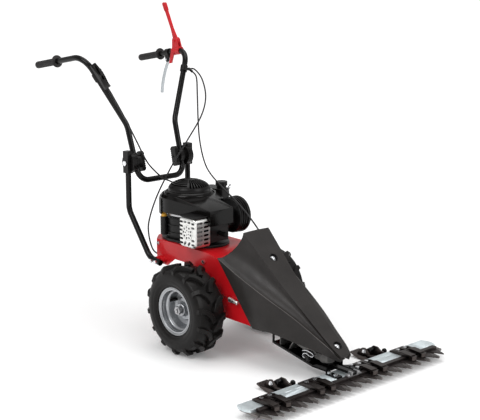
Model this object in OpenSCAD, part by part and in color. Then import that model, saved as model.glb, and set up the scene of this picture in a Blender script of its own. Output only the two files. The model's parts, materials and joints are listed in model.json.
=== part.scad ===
// Walk-behind sickle bar mower: engine, wheels, jointed handle and front cutter bar.
// X points forward, Y to the operator's left and Z up. The origin is on the ground,
// on the centre plane, half way along the machine.

/* [Overall] */
// Distance from the axle to the tips of the cutter bar
cutter_reach = 689; // [670:1:720]
// Distance from the axle back to the ends of the grips
grip_reach = 831; // [800:1:860]

/* [Wheels] */
// Outside radius of the tyre over its lugs
wheel_r = 165; // [155:1:175]
// Width of the tyre
tyre_w = 124; // [110:1:134]
// Distance between the centres of the two wheels
track_w = 400; // [390:1:430]
// Radius of the rim where the tyre seats
rim_seat_r = 76; // [70:1:82]
// Height of the rim lip above the tyre seat
rim_lip_h = 12; // [8:1:15]
// Thickness of the rim sheet
rim_t = 4; // [3:0.5:5]
// Height of a tread lug
lug_h = 11; // [8:0.5:13]
// Thickness of a tread lug
lug_t = 17; // [13:0.5:18]
// Lugs in one row of the tread
lug_count = 14; // [10:1:15]
// Radius of the axle
axle_r = 10; // [9:0.5:11]
// Radius of the wheel hub
hub_r = 24; // [20:1:28]

/* [Chassis] */
// Width over the side panels
chassis_w = 224; // [216:1:232]
// Height of the deck above the ground
deck_z = 358; // [350:1:366]
// Length of the deck behind the axle
deck_rear = 320; // [312:1:330]
// Length of the side panels ahead of the axle
panel_front = 262; // [256:1:270]
// Thickness of the sheet steel
sheet_t = 4; // [3:0.5:5]
// Height of the folded deck edge
flange_h = 60; // [50:1:66]
// Cut across the rear corners of the deck
corner_cut = 45; // [30:1:60]
// Height of the lower edge of the side panels
panel_low = 140; // [134:1:146]

/* [Engine] */
// Distance of the crankshaft behind the axle
crank_back = 215; // [211:1:219]
// Radius of the crankcase
case_r = 90; // [84:1:94]
// Height of the crankcase
case_h = 84; // [78:1:86]
// Radius of the blower shroud
shroud_r = 112; // [106:1:113]
// Height of the shroud's top above the deck
shroud_top = 172; // [168:1:180]
// Radius of the recoil cover
recoil_r = 80; // [72:1:86]
// Height of the recoil cover
recoil_h = 52; // [44:1:60]
// Radius of the air filter
filter_r = 68; // [60:1:70]
// Length of the air filter
filter_l = 40; // [30:1:60]
// Width of the muffler guard along the machine
guard_w = 90; // [80:1:100]
// Height of the muffler guard
guard_h = 108; // [96:1:116]
// Depth of the muffler guard
guard_d = 50; // [44:1:54]

/* [Hood] */
// Distance of the hood's upper rear edge ahead of the axle
hood_rear = 154; // [146:1:162]
// Distance of the hood's nose ahead of the axle
hood_nose = 590; // [582:1:598]
// Height of the hood's upper rear edge
hood_top_z = 449; // [436:1:462]
// Height of the lower tip of the nose
hood_nose_z = 78; // [76:1:86]
// Width of the hood over its side panels
hood_w = 236; // [234:1:246]
// Width of the ridge at the rear
ridge_w = 122; // [100:1:140]
// Depth of the scoop between ridge and shoulder
hood_scoop = 24; // [10:1:30]
// Wall of the hood
hood_t = 3; // [2:0.5:4]

/* [Cutter bar] */
// Distance between neighbouring knife sections
pitch = 50.8; // [46:0.1:52]
// Number of knife sections
sections = 17; // [15:2:17]
// Length of a knife section from the knife's rear edge to its tip
section_l = 70; // [66:1:74]
// Thickness of a knife section
section_t = 3; // [2:0.5:4]
// Depth of the carrier bar
carrier_d = 63; // [58:1:66]
// Thickness of the carrier bar
carrier_t = 8; // [6:0.5:10]
// Thickness of the fingers
finger_t = 8; // [6:0.5:10]
// Height of the underside of the fingers above the ground
finger_z = 20; // [16:1:24]
// Stroke of the knife
stroke = 50.8; // [40:0.1:51]

/* [Handle] */
// Radius of the handle tubes
tube_r = 11; // [10:0.5:12.5]
// Wall of the handle tubes
tube_t = 2; // [1.5:0.5:3]
// Distance of the handle's pivot behind the axle
pivot_back = 400; // [390:1:410]
// Height of the handle's pivot
pivot_z = 634; // [620:1:660]
// Distance between the planes of lower and upper tube at the pivot
knuckle_span = 34; // [33:0.5:40]
// Height of the grip ends
grip_z = 980; // [950:1:1010]
// Half of the distance between the grip ends
grip_y = 253; // [235:1:270]
// Length of a grip
grip_l = 138; // [120:1:145]
// Radius of a grip
grip_r = 14; // [13.5:0.5:17]
// Half the length of the hand knobs
knob_r = 39; // [36:1:42]

/* [Levers] */
// Length of the knife lever from its pivot
knife_lever_l = 169; // [150:1:180]
// Length of the drive lever from its pivot
drive_lever_l = 144; // [120:1:150]
// Length of the throttle housing
throttle_l = 104; // [90:1:120]

/* [Hidden] */
$fn = 48;

// Colours of the finishes
red = "#c1121f";
black = "#1d1d1f";
dark_grey = "#3a3b3d";
mid_grey = "#6d6f72";
steel = "#b4b6b8";
zinc = "#c9cbcc";
rubber = "#2a2a2b";
rim_grey = "#9a9da0";
blade_dark = "#26272a";
amber = "#d6a52c";

// Clearances: running fit, seat between still pieces, room beside moving pieces, overrun of cuts
fit = 0.05;
seat = 0.3;
room = 0.5;
over = 1;

// The model is drawn from the axle and shifted so that the origin is half way along
x_mid = (cutter_reach - grip_reach) / 2;

// Fasteners: bolt radius, head radius and head height
bolt_r = 4;
head_r = 7.5;
head_h = 6;

// Wheel values
carcass_r = wheel_r - lug_h;
rim_lip_r = rim_seat_r + rim_lip_h;
bead_share = 0.40;
tyre_profile_shares = [[0, bead_share], [0.03, 0.455], [0.32, 0.50], [0.66, 0.495], [0.89, 0.44],
  [1, 0.33]];
lug_len = tyre_w / 2;
lug_offset_share = 0.23;
lug_embed = 1.3 * lug_h;
lug_slant = 28;
rim_half = bead_share * tyre_w + seat;
hub_face = tyre_w / 4;
hub_back = tyre_w / 6;
dish_share = 0.42;
valve_r = 1.6 * rim_t;
nut_r = 1.6 * axle_r;
nut_h = 0.9 * axle_r;
axle_half = track_w / 2 + hub_face + seat + nut_h;

// Chassis values
half_w = chassis_w / 2;
deck_under = deck_z - sheet_t;
flange_low = deck_z - flange_h;
slope_start = 20;
slope_end = 92;
slope_drop = 14;
bulkhead_h = 31;
pan_rise = 32;
pan_z = panel_low + pan_rise;
pan_l = 142;
pan_rear = panel_front - pan_l;
axle_tab = 75;
tab_drop = 30;
foot_back = 211;
heel_back = 275;
heel_rise = 10;
foot_drop = 18;
foot_z = flange_low - foot_drop;
ear_drop = 14;
ear_low = foot_z - ear_drop;
ear_l = 42;
foot_bolt_set = 16;
heel_bolt_set = 22;
foot_bolt_rise = 3;
side_bolt_set = 21;
side_pin_l = 48;
side_pin_r = 5;
side_pin_set = 72;
side_pin_rise = 7;
side_bolt_rise = 24;
rear_bolt_set = 14;
bearing_h = 14;
bearing_r = 30;

// Drive line values
crank_x = -crank_back;
crank_r = 11;
belt_h = 10;
belt_t = 8;
groove_h = belt_h + 2 * room;
pulley_lip = 3;
pulley_wall = 4;
knife_belt_drop = 40;
knife_belt_z = deck_z - knife_belt_drop;
drive_belt_drop = 78;
drive_belt_z = deck_z - drive_belt_drop;
crank_knife_r = 40;
crank_drive_r = 32;
knife_shaft_set = 72;
knife_shaft_x = panel_front - knife_shaft_set;
knife_pulley_r = 50;
knife_shaft_r = 10;
gearbox_r = 48;
gearbox_h = 70;
gearbox_neck_r = 30;
gear_top_r = 22;
gear_top_h = 44;
trans_r = 48;
trans_half = 60;
tower_r = 36;
trans_pulley_r = 45;
trans_shaft_r = 8;
trans_gap = 18;
trans_top = drive_belt_z - trans_gap;
axle_tube_r = 17;
idler_r = 15;
idler_arm = 70;
idler_t = 5;
idler_pin_r = 5;
idler_gap = 6;
knife_idler_x = -60;
drive_idler_x = -50;

// Cutter values
tip_x = cutter_reach;
knife_x = tip_x - section_l;
carrier_gap = 4;
carrier_front = knife_x - carrier_gap;
carrier_rear = carrier_front - carrier_d;
finger_top = finger_z + finger_t;
carrier_top = finger_top + carrier_t;
bar_half = (sections / 2 + 0.55) * pitch;
bar_taper = 9;
knife_lift = 0.4;
knife_z = finger_top + knife_lift;
back_d = 18;
back_h = 8;
back_top = knife_z + section_t + back_h;
section_w_share = 0.92;
tip_w_share = 0.10;
finger_w_share = 0.46;
finger_tip_share = 0.12;
finger_root = 30;
clamp_place_shares = [-7, -3, 2, 6];
clamp_bolt_shares = [-0.36, 0.36];
clamp_w = 1.46 * pitch;
clamp_t = 6;
clamp_clear = 2.4;
tongue_r = 15;
tongue_w = 26;
tongue_set = 35;
tongue_x = knife_x + tongue_set;
skid_y = 4.5 * pitch;
skid_w = 46;
skid_t = 5;
skid_l = 125;
skid_knob_l = 22;
shoe_y = (sections / 2 - 0.25) * pitch;
shoe_w = 16;

// Beam and rocker values
beam_half = 41;
beam_t = 5;
beam_set = 30;
beam_rear = pan_rear + beam_set;
beam_drop = 64;
beam_fall = 38;
yoke_t = clamp_t;
yoke_l = 73;
yoke_rear = carrier_rear - yoke_l;
yoke_half = 61;
rocker_arm_w = 20;
yoke_gap = stroke / 2 + rocker_arm_w;
yoke_rim = 5;
yoke_open = carrier_rear - yoke_rim;
beam_nose = yoke_open - sheet_t / 2;
rocker_set = 42;
rocker_x = carrier_rear - rocker_set;
rocker_end = knife_x + back_d / 2;
rocker_l = rocker_end - rocker_x;
rocker_hub_r = 22;
rocker_hub_h = 14;
rocker_z = carrier_top + yoke_t + room;
rocker_arm_t = 9;
rocker_neck_w = 12;
rocker_shaft_r = 9;
roller_r = 9;
cheek_t = 6;
cheek_h = 16;
cheek_clear = 0.8;
cheek_gap = roller_r + cheek_clear;
head_foot = 16;
foot_t = 5;
head_base_t = 2.4;
boss_r = 25;
boss_z = rocker_z + rocker_hub_h + room;
boss_h = 34;
boss_cap = 6;
arm_z = pan_z - beam_t - sheet_t;
arm_h = 36;
arm_half = 26;
roller_x = yoke_rear - head_h;
roller_z = boss_z + 2 * boss_cap;
roller_w = 14;
guide_roller_r = 11;

// Engine values
case_top = deck_z + case_h;
case_neck = 6;
base_r = case_r + 2 * head_r;
base_t = 10;
engine_bolt_r = case_r + head_r;
cyl_y = -20;
cyl_rise = 52;
cyl_z = deck_z + cyl_rise;
bore_r = 32;
barrel_seat = 40;
fin_w = 90;
fin_h = 62;
fin_t = 4;
fin_pitch = 11;
fin_count = 7;
fin_set = 98;
fin_start = crank_x + fin_set;
head_x = fin_start + fin_count * fin_pitch;
head_t = 18;
flywheel_gap = 10;
flywheel_r = shroud_r - 2.4 * flywheel_gap;
flywheel_z = case_top + flywheel_gap;
flywheel_t = 18;
blade_count = 14;
blade_h = 24;
shroud_z = deck_z + shroud_top;
shroud_gap = 24;
shroud_low = case_top + shroud_gap;
shroud_t = 3;
shroud_round = 10;
front_low = shroud_low - 0.75 * shroud_gap;
front_drop = 26;
front_top = shroud_z - front_drop;
face_gap = 30;
front_face = head_x + head_t + face_gap;
front_y = -33;
front_half = 55;
recoil_t = 3;
recoil_skirt_share = 0.28;
slot_count = 14;
slot_w = 8;
slot_in_share = 0.34;
slot_out_share = 0.90;
grip_angle = 160;
grip_out = 22;
starter_r = 9;
starter_l = 50;
guard_set = 13;
guard_x = front_face - guard_set;
guard_rise = 14;
guard_z = deck_z + guard_rise;
guard_gap = 35;
guard_y = cyl_y - fin_w / 2 - guard_gap;
guard_t = 2;
guard_slots = 6;
muffler_gap = 7;
muffler_round = 8;
pipe_r = 12;
filter_set = 5;
filter_x = head_x - filter_set;
filter_rise = 104;
filter_z = deck_z + filter_rise;
carb_y = cyl_y + fin_w / 2;
carb_d = 24;
carb_w = 52;
carb_h = 50;
filter_base_t = 6;
filter_y = carb_y + carb_d + filter_base_t;
rib_count = 4;
rib_h = 4;
tank_y = shroud_r + seat;
tank_w = 54;
tank_set = 60;
tank_rear = crank_x - tank_set;
tank_l = 110;
tank_h = 86;
tank_top = shroud_z;
tank_low = tank_top - tank_h;
tank_round = 16;
cap_set = 25;
cap_x = crank_x + cap_set;
cap_y = tank_y + tank_w / 2;
cap_r = 23;
cap_h = 27;
cap_wall = 2;
neck_h = 11;
dip_set = 36;
dip_x = crank_x - dip_set;
dip_y = -case_r - 2 * cap_wall;
dip_r = 8;
dip_depth = 30;
dip_cap_r = 11;
dip_cap_h = 10;
dip_z = case_top + case_neck - cap_wall;
dip_low = deck_z + 2 * base_t;
plug_l = 40;
plug_r = 10;

// Handle values
tube_lean_share = 0.302;
base_drop = 71;
kink_rise = 136;
base_y = 109;
kink_y = 116;
pivot_y = base_y + (kink_y - base_y) * base_drop / (base_drop + kink_rise);
lower_y = pivot_y + knuckle_span;
pivot_x = -pivot_back;
bend_rise = 54;
bend_fore = 311;
bend_y = 250;
tube_bend = 60;
tube_swell = 0.1;
upper_bend = 70;
kink_bend = 80;
base_bend = 46;
knee_drop = 179;
knee_z = pivot_z - knee_drop;
lower_over = 40;
lower_top = pivot_z + lower_over;
knuckle_r = 38;
disc_t = 6;
disc_y = pivot_y + knuckle_span / 2;
block_wall = 2;
block_out = tube_r + block_wall;
block_half = 15;
block_cap = 6;
saddle_l = 46;
mount_t = 5;
saddle_in = tube_r + mount_t;
tooth_count = 24;
tooth_w = 3;
knob_t = 16;
stud_end = pivot_y - saddle_in - knob_t;
knob_half = 16;
knob_lean = -12;
rib_r = 3;
rib_pitch = 7.5;
knob_hub_r = 13;
knob_hub_l = 4;
flute_count = 12;
flute_r = 6;
flange_r = 24;
flange_t = 6;
grip_end_t = 4;

// Lever values
lever_w = 14;
lever_t = 9;
mount_l = 46;
lever_hub_r = 15;
knife_lever_lift = 40;
knife_lever_s = 250;
knife_lever_lean = 17;
tongue_drop = 46;
drive_lever_s = 190;
drive_lever_drop = 28;
drive_lever_lean = 44;
drive_lever_w = 13;
drive_blade_t = 6;
blade_arc_r = 300;
throttle_share = 0.70;
throttle_w = 24;
throttle_h = 20;
throttle_gap = 10;
throttle_out = tube_r + throttle_gap;
throttle_slot = 8;
throttle_rest = 50;
throttle_lever_l = 34;
guide_share = 0.72;
guide_l = 24;
ferrule_l = 26;
ferrule_r = 5;

// Cable sizes and routes, in millimetres from the axle
cable_r = 3;
cable_sides = 8;
cable_steps = 2;
throttle_route = [[-394, -165, 815], [-365, -132, 724], [-351, -95, 642], [-342, -62, 600],
  [-334, -30, 570], [-336, 0, 556], [-338, 30, 540], [-326, 54, 516], [-314, 60, 490]];
drive_route = [[-455, 206, 962], [-420, 204, 962], [-360, 190, 930], [-306, 162, 868], [-284, 120, 800],
  [-297, 60, 710], [-328, 10, 616], [-360, -40, 500], [-374, -70, 405], [-362, -82, 350],
  [-330, -88, 300], [-284, -88, 290], [-250, -86, 312], [-244, -84, 350]];
knife_route = [[-455, 220, 950], [-425, 216, 930], [-395, 195, 865], [-362, 170, 775], [-330, 150, 700],
  [-280, 128, 630], [-210, 100, 590], [-90, 66, 550], [20, 40, 515], [120, 26, 460], [200, 14, 400]];

// Vector helpers
function unit(v) = v / norm(v);
function mix(a, b, s) = a + (b - a) * s;
function side_of(d) = abs(d[2]) < 0.9 ? unit(cross([0, 0, 1], d)) : unit(cross([1, 0, 0], d));
function axes(o, x, z) = let (y = cross(z, x)) [
  [x[0], y[0], z[0], o[0]], [x[1], y[1], z[1], o[1]], [x[2], y[2], z[2], o[2]], [0, 0, 0, 1]];
function mirrored(p) = [p[0], -p[1], p[2]];

module placed() {
  translate([-x_mid, 0, 0]) children();
}

module lift(z) {
  translate([0, 0, z]) children();
}

module both_sides() {
  children();
  mirror([0, 1, 0]) children();
}

// Puts the local Z axis along a line from a to b
module along(a, b) {
  d = unit(b - a);
  multmatrix(axes(a, side_of(d), d)) children();
}

module rod(a, b, r) {
  along(a, b) cylinder(h = norm(b - a), r = r);
}

// A round bar through the given points with an arc at each inner one. The arcs are a little
// thicker and lap over the straight runs, and the ends can run past the first and last point
module bent_bar(points, bends, r, swell, past) {
  last = len(points) - 1;
  dirs = [for (i = [0:last - 1]) unit(points[i + 1] - points[i])];
  turns = [for (i = [1:last - 1]) acos(dirs[i - 1] * dirs[i])];
  trims = [for (i = [0:last]) (i == 0 || i == last) ? -past : bends[i - 1] * tan(turns[i - 1] / 2)];
  for (i = [0:last - 1]) rod(points[i] + dirs[i] * trims[i], points[i + 1] - dirs[i] * trims[i + 1], r);
  for (i = [1:last - 1]) {
    bend = bends[i - 1];
    lap = over / bend * 180 / PI;
    normal = unit(cross(dirs[i - 1], dirs[i]));
    inward = cross(normal, dirs[i - 1]);
    multmatrix(axes(points[i] - dirs[i - 1] * trims[i] + inward * bend, -inward, normal)) rotate(-lap)
      rotate_extrude(angle = turns[i - 1] + 2 * lap) translate([bend, 0]) circle(r + swell);
  }
}

module bent_tube(points, bends) {
  difference() {
    bent_bar(points, bends, tube_r, tube_swell, 0);
    bent_bar(points, bends, tube_r - tube_t, -tube_swell, over);
  }
}

// A plate with its outline in the XZ plane, centred on y = 0
module side_plate(outline, w) {
  translate([0, w / 2, 0]) rotate([90, 0, 0]) linear_extrude(w) polygon(outline);
}

// A block between two corners in the XZ plane, centred on y = 0
module slab(a, b, w) {
  side_plate([a, [b[0], a[1]], b, [a[0], b[1]]], w);
}

module cross_bar(x, z, r, y0, y1) {
  translate([x, y0, z]) rotate([-90, 0, 0]) cylinder(h = y1 - y0, r = r);
}

module post(at, h, r) {
  translate(at) cylinder(h = h, r = r);
}

module hex_head(r, h) {
  cylinder(h = h, r = r, $fn = 6);
}

// Smooth points between hand-chosen ones
function between(p, i, s) = let (
  a = p[max(i - 1, 0)], b = p[i], c = p[i + 1], d = p[min(i + 2, len(p) - 1)])
  0.5 * (2 * b + (c - a) * s + (2 * a - 5 * b + 4 * c - d) * s * s + (3 * b - a - 3 * c + d) * s * s * s);
function smooth(p, n) = concat(
  [for (i = [0:len(p) - 2]) for (k = [0:n - 1]) between(p, i, k / n)], [p[len(p) - 1]]);
function tangent(p, i) = unit(p[min(i + 1, len(p) - 1)] - p[max(i - 1, 0)]);
function carried(p, i, n) = i == len(p) ? [] : let (t = tangent(p, i), m = unit(n - (n * t) * t))
  concat([m], carried(p, i + 1, m));

// A round cable swept along its route
module cable(route) {
  path = smooth(route, cable_steps);
  count = len(path);
  sides = carried(path, 0, side_of(tangent(path, 0)));
  points = [for (i = [0:count - 1]) for (k = [0:cable_sides - 1])
    let (a = 360 * k / cable_sides, n = sides[i])
    path[i] + cable_r * (n * cos(a) + cross(tangent(path, i), n) * sin(a))];
  walls = [for (i = [0:count - 2]) for (k = [0:cable_sides - 1])
    let (m = (k + 1) % cable_sides, a = i * cable_sides, b = a + cable_sides)
    each [[a + k, b + k, b + m], [a + k, b + m, a + m]]];
  ends = [[for (k = [0:cable_sides - 1]) k],
    [for (k = [cable_sides - 1:-1:0]) (count - 1) * cable_sides + k]];
  polyhedron(points, concat(walls, ends));
}

// Wheels

module wheel_at(side) {
  translate([0, side * track_w / 2, wheel_r]) rotate([-90 * side, 0, 0]) children();
}

module tyre(side) {
  wall = [for (p = tyre_profile_shares) [mix(rim_lip_r + seat, carcass_r, p[0]), p[1] * tyre_w]];
  half = concat([[rim_seat_r + seat, bead_share * tyre_w]], wall);
  flip = [for (i = [len(half) - 1:-1:0]) [half[i][0], -half[i][1]]];
  color(rubber) placed() wheel_at(side) intersection() {
    union() {
      rotate_extrude() polygon(concat(half, flip));
      for (row = [-1, 1]) for (i = [0:lug_count - 1])
        rotate(360 * (i + (row + 1) / 4) / lug_count) translate([carcass_r - lug_embed, 0,
          row * lug_offset_share * tyre_w])
          rotate([row * lug_slant, 0, 0]) translate([0, -lug_t / 2, -lug_len / 2])
            cube([lug_h + lug_embed + over, lug_t, lug_len]);
    }
    cylinder(h = 2 * tyre_w, r = wheel_r, center = true);
  }
}

module rim(side) {
  inner = rim_seat_r - rim_t;
  dish = mix(hub_back, hub_face, dish_share);
  color(rim_grey) placed() wheel_at(side) difference() {
    union() {
      rotate_extrude() polygon([[inner, -rim_half], [rim_lip_r, -rim_half], [rim_lip_r, -rim_half - rim_t],
        [inner, -rim_half - rim_t]]);
      rotate_extrude() polygon([[inner, rim_half], [rim_lip_r, rim_half], [rim_lip_r, rim_half + rim_t],
        [inner, rim_half + rim_t]]);
      rotate_extrude() polygon([[inner, -rim_half], [rim_seat_r, -rim_half], [rim_seat_r, rim_half],
        [inner, rim_half]]);
      rotate_extrude() polygon([[inner, 0], [inner, rim_t], [mix(hub_r, inner, 0.62), dish + rim_t],
        [hub_r, hub_face - rim_t], [hub_r, hub_face - 2 * rim_t],
        [mix(hub_r, inner, 0.62), dish - rim_t / 4], [mix(hub_r, inner, 0.8), 0]]);
      post([0, 0, -hub_back], hub_back + hub_face, hub_r);
    }
    post([0, 0, -tyre_w], 2 * tyre_w, axle_r + fit);
    post([mix(hub_r, inner, 0.72), 0, -tyre_w], 2 * tyre_w, valve_r);
  }
}

module axle_shaft() {
  color(steel) placed() lift(wheel_r) rotate([90, 0, 0]) union() {
    cylinder(h = 2 * axle_half, r = axle_r, center = true);
    for (side = [-1, 1]) lift(side * (axle_half - nut_h / 2))
      cylinder(h = nut_h, r = nut_r, center = true, $fn = 6);
  }
}

module axle_bearings() {
  color(mid_grey) placed() both_sides() translate([0, half_w, wheel_r]) rotate([-90, 0, 0]) difference() {
    union() {
      cylinder(h = bearing_h / 2, r = bearing_r);
      cylinder(h = bearing_h, r = axle_r + bearing_h / 2);
    }
    post([0, 0, -over], bearing_h + 2 * over, axle_r + fit);
  }
}

// Chassis

panel_outline = [
  [-deck_rear + corner_cut, deck_z], [slope_start, deck_z], [slope_end, deck_z - slope_drop],
  [panel_front, pan_z + bulkhead_h], [panel_front, panel_low + sheet_t],
    [panel_front - sheet_t * 4, panel_low],
  [slope_end, panel_low], [axle_tab, wheel_r - tab_drop], [-axle_tab, wheel_r - tab_drop],
  [-axle_tab - tab_drop, flange_low], [-foot_back + ear_l, flange_low], [-foot_back, ear_low],
  [-heel_back + sheet_t, ear_low], [-deck_rear + corner_cut, flange_low]];
deck_outline = [
  [slope_start, -half_w], [slope_start, half_w], [-deck_rear + corner_cut, half_w],
  [-deck_rear, half_w - corner_cut], [-deck_rear, corner_cut - half_w], [-deck_rear + corner_cut, -half_w]];
bolt_xs = [-foot_back - foot_bolt_set, -heel_back + heel_bolt_set];
foot_bolt_z = foot_z + foot_bolt_rise;

module chassis_frame() {
  slope = [[slope_start, deck_z], [slope_end, deck_z - slope_drop],
    [slope_end, deck_under - slope_drop], [slope_start, deck_under]];
  color(red) placed() difference() {
    union() {
      lift(deck_under) linear_extrude(sheet_t) polygon(deck_outline);
      lift(flange_low) linear_extrude(flange_h) difference() {
        polygon(deck_outline);
        translate([sheet_t, 0]) polygon([for (p = deck_outline) [p[0],
          p[1] * (half_w - sheet_t) / half_w]]);
      }
      side_plate(slope, chassis_w);
      both_sides() translate([0, half_w - sheet_t / 2, 0]) side_plate(panel_outline, sheet_t);
      slab([pan_rear, pan_z], [panel_front, pan_z + sheet_t], chassis_w - sheet_t);
      slab([panel_front - sheet_t, pan_z], [panel_front, pan_z + bulkhead_h], chassis_w - sheet_t);
      side_plate(hood_bracket, 2 * head_r + 2 * sheet_t);
      both_sides() for (x = bolt_xs)
        cross_bar(x, foot_bolt_z, 2 * bolt_r + sheet_t, half_w - sheet_t, lower_y - tube_r - seat);
    }
    post([crank_x, 0, deck_under - over], sheet_t + 2 * over, 2 * crank_r);
    post([knife_shaft_x, 0, pan_z - over], sheet_t + 2 * over, gearbox_neck_r + seat);
    lift(wheel_r) rotate([90, 0, 0]) cylinder(h = chassis_w + over, r = axle_r + seat,
      center = true);
    for (x = bolt_xs) translate([x, 0, foot_bolt_z]) rotate([90, 0, 0])
      cylinder(h = 2 * lower_y, r = bolt_r + fit, center = true);
    at_engine_bolts() post([0, 0, deck_under - over], sheet_t + 2 * over, bolt_r + fit);
  }
}

module at_engine_bolts() {
  for (a = [45:90:315]) translate([crank_x, 0, 0]) rotate(a) translate([engine_bolt_r, 0, 0]) children();
}

// Hexagon bolts of the handle feet, the engine base and the side panels, and the hood's screws
module frame_bolts() {
  head_y = lower_y + tube_r + seat;
  inner_y = half_w - sheet_t - seat;
  color(zinc) placed() {
    both_sides() for (x = bolt_xs) {
      cross_bar(x, foot_bolt_z, bolt_r, inner_y - head_h / 2, head_y + head_h / 2);
      translate([x, head_y, foot_bolt_z]) rotate([-90, 0, 0]) hex_head(head_r, head_h);
      translate([x, inner_y - head_h, foot_bolt_z]) rotate([-90, 0, 0]) hex_head(head_r, head_h);
    }
    both_sides() for (p = [[slope_start - side_bolt_set, flange_low + side_bolt_rise],
      [-deck_rear + corner_cut + rear_bolt_set, deck_z - rear_bolt_set]])
      translate([p[0], half_w, p[1]]) rotate([-90, 0, 0]) hex_head(head_r, head_h);
    at_engine_bolts() {
      post([0, 0, deck_under - head_h / 2], sheet_t + base_t + head_h, bolt_r);
      lift(deck_z + base_t) hex_head(head_r, head_h);
      lift(deck_under - head_h - seat) hex_head(head_r, head_h);
    }
    translate([panel_front - side_pin_set, -half_w, pan_z + bulkhead_h + side_pin_rise]) {
      translate([0, -side_pin_r - over, 0]) rotate([0, -90, 0]) cylinder(h = side_pin_l, r = side_pin_r);
      cross_bar(-side_pin_l / 2, 0, bolt_r, -side_pin_r, 0);
    }
    at_hood_screws() {
      post([0, 0, seat], head_h / 2, head_r);
      post([0, 0, -hood_t], hood_t + head_h / 2, bolt_r);
    }
  }
}

// Hood: rails run from the rear edge to the nose, and sections join them

ridge_x_shares = [0, 0.2, 0.4, 0.6, 0.8, 0.93, 1];
ridge_z_shares = [1, 0.79, 0.58, 0.40, 0.226, 0.119, 0.06];
ridge_y_shares = [1, 0.85, 0.70, 0.60, 0.53, 0.50, 0.40];
shoulder_x_shares = [0, 0.217, 0.433, 0.657, 0.829, 0.941, 1];
shoulder_y_shares = [1, 0.98, 0.83, 0.61, 0.43, 0.32, 0.25];
shoulder_z_shares = [1, 0.832, 0.646, 0.449, 0.263, 0.142, 0.051];
skirt_x_shares = [0, 0.117, 0.248, 0.537, 0.788, 0.929, 1];
skirt_y_shares = [1, 0.99, 0.95, 0.71, 0.46, 0.30, 0.18];
nose_close_share = 0.04;
skirt_z_shares = [1, 1.03, 1.07, 0.74, 0.40, 0.14, 0];
flank_shares = [0.25, 0.5, 0.75];
shoulder_set = 74;
shoulder_rear = hood_rear - shoulder_set;
shoulder_z = deck_z - 2 * hood_t;
skirt_rear = panel_front;
skirt_z = panel_low - sheet_t;
function ridge_point(i) = [mix(hood_rear, hood_nose, ridge_x_shares[i]), ridge_y_shares[i] * ridge_w / 2,
  mix(hood_nose_z, hood_top_z, ridge_z_shares[i])];
function shoulder_point(i) = [mix(shoulder_rear, hood_nose, shoulder_x_shares[i]),
  shoulder_y_shares[i] * hood_w / 2, mix(hood_nose_z, shoulder_z, shoulder_z_shares[i])];
function skirt_point(i) = [mix(skirt_rear, hood_nose, skirt_x_shares[i]), skirt_y_shares[i] * hood_w / 2,
  mix(hood_nose_z, skirt_z, skirt_z_shares[i])];
function flank_point(i, s) = mix(shoulder_point(i), ridge_point(i), s)
  - [0, 1, 1] * 4 * s * (1 - s) * hood_scoop * ridge_y_shares[i] * 0.7;
function half_section(i) = concat([skirt_point(i), shoulder_point(i)],
  [for (s = flank_shares) flank_point(i, s)], [ridge_point(i)]);
function reversed(list) = [for (i = [len(list) - 1:-1:0]) list[i]];
function hood_section(i) = concat([for (p = half_section(i)) mirrored(p)], reversed(half_section(i)));
hood_screw_set = 92;
hood_screw_x = hood_rear + hood_screw_set;
hood_screw_z = mix(ridge_point(0)[2], ridge_point(1)[2],
  (hood_screw_x - hood_rear) / (ridge_point(1)[0] - hood_rear));
nose_screw_set = 33;
nose_screw_x = hood_nose - nose_screw_set;
nose_screw_z = mix(ridge_point(4)[2], ridge_point(5)[2],
  (nose_screw_x - ridge_point(4)[0]) / (ridge_point(5)[0] - ridge_point(4)[0]));
ridge_slope = atan((ridge_point(0)[2] - ridge_point(1)[2]) / (ridge_point(1)[0] - ridge_point(0)[0]));
nose_slope = atan((ridge_point(4)[2] - ridge_point(5)[2]) / (ridge_point(5)[0] - ridge_point(4)[0]));
// Underside of the ridge beside a screw, a seat lower
function under_ridge(x, z, slope, d) = [x + d, z - d * tan(slope) - hood_t / cos(slope) - seat];
bracket_l = 10;
bracket_high = under_ridge(hood_screw_x, hood_screw_z, ridge_slope, -bracket_l);
bracket_low = under_ridge(hood_screw_x, hood_screw_z, ridge_slope, bracket_l);
hood_bracket = [
  [panel_front - sheet_t, pan_z], [panel_front, pan_z],
  [panel_front, bracket_low[1] - panel_front + bracket_low[0]], bracket_low, bracket_high,
  bracket_high - [sheet_t, sheet_t], bracket_low - [sheet_t, sheet_t],
  [panel_front - sheet_t, bracket_low[1] - panel_front + bracket_low[0] - sheet_t]];

// A thin wall over a grid of points; each row runs over the top from right to left
module skin(grid, wall) {
  rows = len(grid);
  cols = len(grid[0]);
  inner = [for (i = [0:rows - 1]) [for (j = [0:cols - 1])
    let (du = grid[min(i + 1, rows - 1)][j] - grid[max(i - 1, 0)][j],
      dv = grid[i][min(j + 1, cols - 1)] - grid[i][max(j - 1, 0)])
    grid[i][j] - wall * unit(cross(du, dv))]];
  points = concat([for (r = grid) each r], [for (r = inner) each r]);
  shift = rows * cols;
  quads = [for (i = [0:rows - 2]) for (j = [0:cols - 2])
    let (a = i * cols + j, b = a + cols) [a, a + 1, b + 1, b]];
  edge = concat([for (j = [0:cols - 2]) [j, j + 1]], [for (i = [0:rows - 2]) [i * cols + cols - 1,
    (i + 1) * cols + cols - 1]],
    [for (j = [cols - 1:-1:1]) [(rows - 1) * cols + j, (rows - 1) * cols + j - 1]],
    [for (i = [rows - 1:-1:1]) [i * cols, (i - 1) * cols]]);
  faces = concat(
    [for (q = quads) each [[q[0], q[1], q[3]], [q[1], q[2], q[3]]]],
    [for (q = quads) each [[q[0] + shift, q[3] + shift, q[1] + shift],
      [q[1] + shift, q[3] + shift, q[2] + shift]]],
    [for (e = edge) each [[e[0], e[0] + shift, e[1] + shift], [e[0], e[1] + shift, e[1]]]]);
  polyhedron(points, faces);
}

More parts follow.
